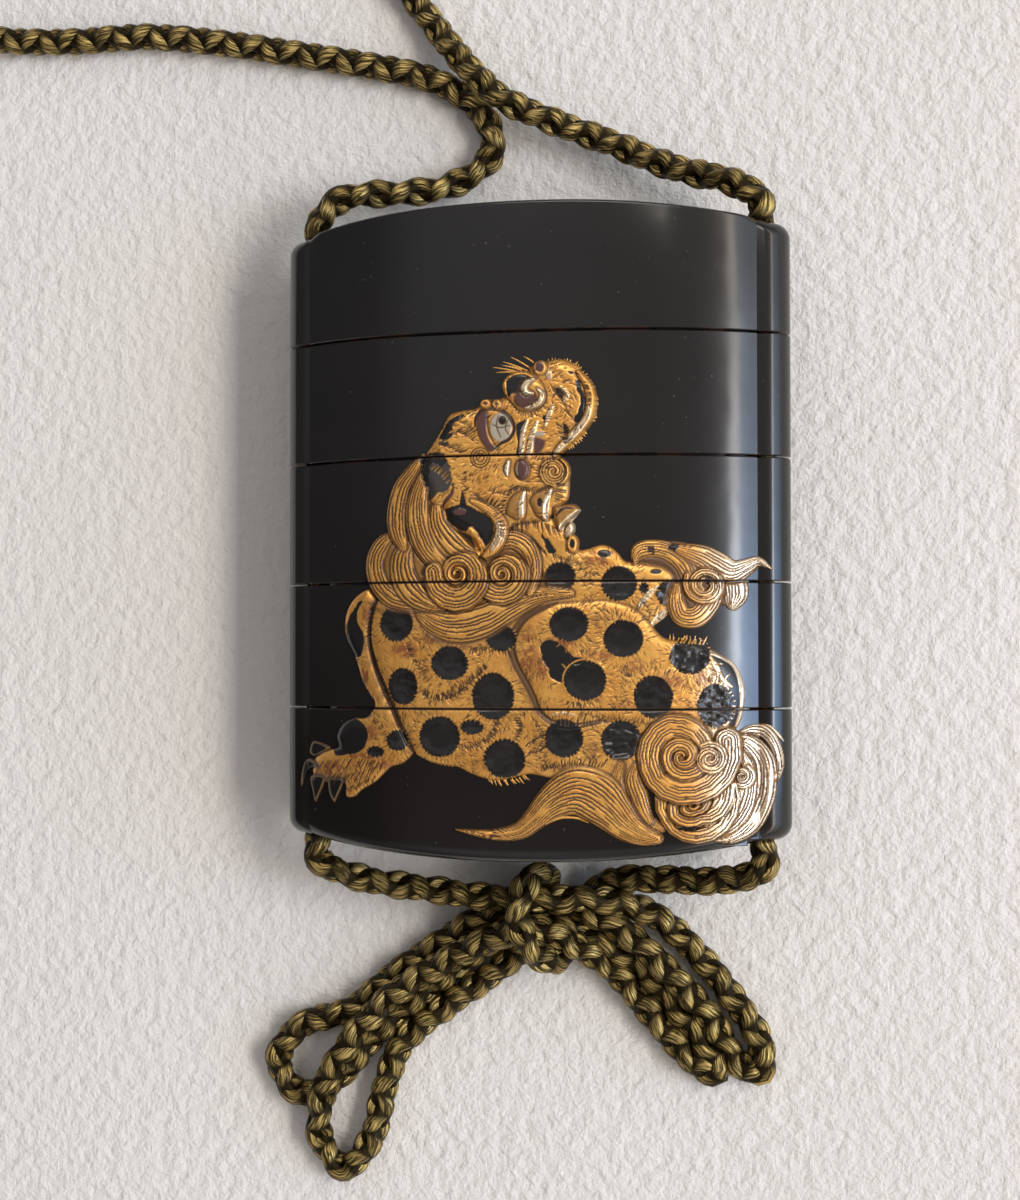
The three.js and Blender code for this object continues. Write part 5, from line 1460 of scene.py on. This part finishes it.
def paint_nose(s):
    s.mass(NOSE, 1.35, 0.9)
    s.blot(NOSE_BLACK, dip=0.22)
    s.knob(1.1, 14.5, 1.25, 0.95, 11, 1.25, 0.5, MAROON)
    # The pale bands and oval on the nose are painted highlights.
    s.band([(2.1, 16.7, 0.15), (1.4, 16.4, 0.36), (0.95, 15.8, 0.42), (1.25, 15.2, 0.38), (2, 15.1, 0.12)],
           1.55, colour=PALE_HIGHLIGHT, ink=0)
    s.band([(2.5, 15.6, 0.12), (3, 15, 0.34), (2.8, 14.2, 0.38), (2.1, 13.7, 0.3), (1.1, 13.5, 0.12)], 1.5,
           colour=PALE_HIGHLIGHT, ink=0)
    s.knob(2.7, 18, 0.8, 0.9, 9, 1.2, 0.5)
    s.oval(2.7, 18.05, 0.5, 0.62, MAROON, dip=0.1)
    s.oval(3.75, 17.1, 0.36, 0.46, PALE_HIGHLIGHT, dip=-0.08)


def paint_lip(s):
    """The raised edge of the upper lip with painted highlights along it, and the dark patches of the muzzle.
    """
    s.band([(7, 17.4, 0.3), (8.1, 15.8, 0.55), (8.4, 14.2, 0.6), (8.1, 12.5, 0.6), (7.1, 11.1, 0.6),
            (6, 10, 0.55), (5, 9, 0.5), (4.4, 8.3, 0.35)], 1.2, ink=0)
    # A pale streak along the lip: painted highlight.
    s.streak([(8.3, 13.6, 0.15), (8, 12.3, 0.3), (7, 11, 0.36), (5.9, 9.8, 0.34), (4.8, 8.9, 0.3),
              (4.3, 8.3, 0.2)], PALE_HIGHLIGHT, 0.05)
    s.blot(MUZZLE_BLACK, dip=0.12, ragged=0.12)
    for patch in MUZZLE_PATCHES:
        s.oval(*patch, ragged=0.2)
    s.blot([(4.3, 15.7), (5, 15.6), (5.4, 15), (5.2, 14.5), (4.7, 14.8)], dip=0.1)
    # A pale streak: painted highlight.
    s.streak([(5, 15.8, 0.08), (5.7, 15.2, 0.17), (5.8, 14.6, 0.18), (5.2, 14.1, 0.08)], PALE_HIGHLIGHT, 0.12)


def paint_teeth(s):
    """Pale strokes at the corner of the mouth as painted highlights, hairs across the muzzle and the
    whiskers.
    """
    # Pale strokes: painted highlights.
    for path in MOUTH_STROKES:
        s.streak(path, PALE_HIGHLIGHT, 0.16)
    s.blot([(1.9, 10.2), (3.3, 9.8), (2.8, 8.6), (1.9, 8.5)], MAROON, 0.06, 0.15)
    s.oval(2.7, 10.6, 0.6, 0.32, CREAM, dip=-0.12)
    for k in range(9):
        s.streak([(4.6 + 0.22 * k, 15.9 - 0.6 * k, 0.04), (5.4 + 0.2 * k, 15.2 - 0.55 * k, 0.06),
                  (6.3 + 0.05 * k, 14.9 - 0.55 * k, 0.04)], BROWN, -0.04, 0.8)
    for root, tip in WHISKERS:
        middle = ((root[0] + tip[0]) / 2, (root[1] + tip[1]) / 2 + 0.06, 0.09)
        s.streak([(*root, 0.11), middle, (*tip, 0.04)], GOLD, 0.10)
    # A pale band and streak: painted highlights.
    s.band([(-0.95, 6, 0.1), (-1.1, 6.8, 0.34), (-0.85, 7.6, 0.2)], 1.2, colour=PALE_HIGHLIGHT, ink=0)
    s.knob(0.7, 6.7, 0.85, 1.2, 11, 1.35, 0.6, MAROON)
    s.streak([(0.3, 7.5, 0.08), (0.1, 6.8, 0.14), (0.25, 6.1, 0.08)], PALE_HIGHLIGHT, 0, 0.8)


def paint_head_fur(s):
    """Fine hairs all over the head: drawn back along the skull, curling round the muzzle."""
    dice = random.Random(57)
    roots = np.array([(dice.uniform(-11, 9), dice.uniform(-2.5, 19)) for _ in range(HEAD_HAIRS)])
    roots = roots[loop_distance(roots[:, 0], roots[:, 1], smooth_loop(HEAD)) > 0.1]
    for x, y in roots:
        j, i = np.searchsorted(s.y, y), np.searchsorted(s.x, x)
        if not 0 < j < len(s.y) or s.paint[j, i, 3] < FUR_METAL:
            continue
        if y > 9 and x > 2:
            flow = math.degrees(math.atan2(y - 14, x - 4.5)) - 70
        elif y > 0:
            flow = 200 + 40 * NOISE(x * 0.3, y * 0.3 + 9)
        else:
            flow = -80
        s.hair(x, y, flow + dice.uniform(-18, 18), dice.uniform(0.3, 0.7),
               LINE if dice.random() < 0.8 else GOLD, dice.uniform(0.055, 0.085), -0.05,
               dice.uniform(-20, 20))


def paint_combs(s, combs):
    dice = random.Random(33)
    for roots, count, first, last, colour in combs:
        s.comb(roots, count, first, last, colour, dice)


def make_relief():
    """The relief's pieces, one for each section that carries a part of the figure."""
    for index, name in enumerate(NAMES[1:], start=1):
        low = -HALF_HEIGHT + BASE_MARGIN if name == "base" else JOINTS_Y[index] + SEEN_GAP / 2
        high = JOINTS_Y[index - 1] - SEEN_GAP / 2
        sheet = Sheet(low, high)
        paint_body(sheet)
        for number, fold in enumerate(FOLDS):
            sheet.fold(fold, number)
        paint_spots(sheet)
        paint_fur(sheet)
        for x, y, rx, ry, colour in STAINS:
            sheet.stain(x, y, rx, ry, colour)
        paint_paw(sheet)
        paint_combs(sheet, BODY_COMBS)
        paint_tuft(sheet)
        paint_tail(sheet)
        paint_mane(sheet)
        paint_head(sheet)
        paint_head_fur(sheet)
        paint_combs(sheet, HEAD_COMBS)
        paint_fringes(sheet)
        sheet.bevel_joints((high,) if name == "base" else (low, high))
        sheet.age()
        sheet.build(name + "_relief")


# ---- stage: a pale table, two lamps and the light of a room ----
TABLE_REACH = 8.0
# Lamps: direction and height in degrees, distance and size in metres, power, colour.
KEY_LAMP = (0, 46, 1.2, (0.8, 0.16), 7.8, (1.0, 0.955, 0.905))
GLOW_LAMP = (78, 54, 1.0, (0.7, 0.35), 3.4, (1.0, 0.94, 0.85))
# Radiance of the room by direction: stops of (place, red, green, blue) along each sweep.
WINDOW_SWEEP = [
    (0.60, 0, 0, 0), (0.70, 0.08, 0.08, 0.08), (0.74, 0.42, 0.38, 0.36), (0.770, 1.4, 1.3, 1.2),
    (0.784, 9, 8.3, 7.6), (0.792, 9.4, 8.6, 7.9), (0.799, 3.3, 3.7, 4.3), (0.84, 1.9, 2.25, 2.7),
    (0.93, 1.2, 1.5, 1.8), (1, 0.6, 0.75, 0.9),
]
ROOM_SWEEP = [
    (0, 0.30, 0.30, 0.31), (0.22, 0.46, 0.46, 0.48), (0.34, 0.95, 0.95, 0.98), (0.44, 0.98, 0.98, 1),
    (0.55, 0.90, 0.88, 0.86), (0.75, 0.9, 0.9, 0.9), (1, 0.6, 0.6, 0.6),
]
ROOM_LENGTHWISE = [
    (0, 0.45, 0.45, 0.45), (0.20, 0.55, 0.54, 0.53), (0.38, 0.26, 0.235, 0.22), (0.46, 0.16, 0.145, 0.14),
    (0.50, 0.36, 0.34, 0.33), (0.56, 0.50, 0.495, 0.49), (0.62, 0.50, 0.50, 0.505),
    (0.80, 0.60, 0.60, 0.60), (1, 0.45, 0.45, 0.45),
]
WINDOW_LENGTHWISE = [
    (0, 0, 0, 0), (0.20, 0.5, 0.42, 0.33), (0.42, 0.9, 0.85, 0.8), (0.455, 1.8, 2.15, 2.7),
    (0.503, 1.75, 2.1, 2.6), (0.53, 1.2, 1.32, 1.5), (0.558, 0.93, 0.97, 1.02), (0.594, 0.62, 0.62, 0.62),
    (0.74, 0.5, 0.42, 0.33), (0.86, 0, 0, 0),
]
RAMP_TOP = 10.0


def make_table():
    corners = [(x * TABLE_REACH, y * TABLE_REACH, 0) for x, y in ((-1, -1), (1, -1), (1, 1), (-1, 1))]
    mesh = bpy.data.meshes.new("table")
    mesh.from_pydata(corners, [], [(0, 1, 2, 3)])
    mesh.materials.append(table_material())
    table = bpy.data.objects.new("table", mesh)
    COLLECTION.objects.link(table)


def area_light(name, azimuth, elevation, distance, size, power, colour):
    """A rectangular lamp in a direction given in degrees, facing the case."""
    data = bpy.data.lights.new(name, "AREA")
    data.shape = "RECTANGLE"
    data.size, data.size_y = size
    data.energy = power
    data.color = colour
    lamp = bpy.data.objects.new(name, data)
    turn, rise = math.radians(azimuth), math.radians(elevation)
    away = Vector((math.cos(rise) * math.cos(turn), math.cos(rise) * math.sin(turn), math.sin(rise)))
    lamp.location = away * distance
    lamp.rotation_euler = away.to_track_quat("Z", "Y").to_euler()
    COLLECTION.objects.link(lamp)
    return lamp


def make_room():
    """The surroundings: a low window on the right, dim overhead, lighter towards both ends of the case."""
    n = Nodes(bpy.data.worlds.new("room"), "Background")

    def sweep(value, stops):
        return n.ramp(value, *((place, *(c / RAMP_TOP for c in colour)) for place, *colour in stops))

    def product(a, b):
        both = n.math("MULTIPLY", a, b, kind="VectorMath")
        return n.math("MULTIPLY", both, (RAMP_TOP,) * 3, kind="VectorMath")

    x, y, z = n.add("SeparateXYZ", slice(3), Vector=n.add("TexCoord"))
    across = n.math("MULTIPLY_ADD", n.math("ARCTAN2", x, z), 1 / math.pi, 0.5)
    lengthwise = n.math("MULTIPLY_ADD", y, 0.5, 0.5)
    window = product(sweep(across, WINDOW_SWEEP), sweep(lengthwise, WINDOW_LENGTHWISE))
    room = product(sweep(across, ROOM_SWEEP), sweep(lengthwise, ROOM_LENGTHWISE))
    n.set(Color=n.math("ADD", window, room, kind="VectorMath"), Strength=RAMP_TOP)
    bpy.context.scene.world = n.owner


def make_lights():
    """The key lamp lights the table without a glint; the glow shows only as a sheen on the lacquer."""
    area_light("key", *KEY_LAMP).visible_glossy = False
    area_light("glow", *GLOW_LAMP).visible_diffuse = False


make_camera()
make_cords()
for number in range(len(NAMES)):
    section_piece(number)
make_relief()
make_table()
make_room()
make_lights()
bpy.context.scene.view_settings.view_transform = "Standard"
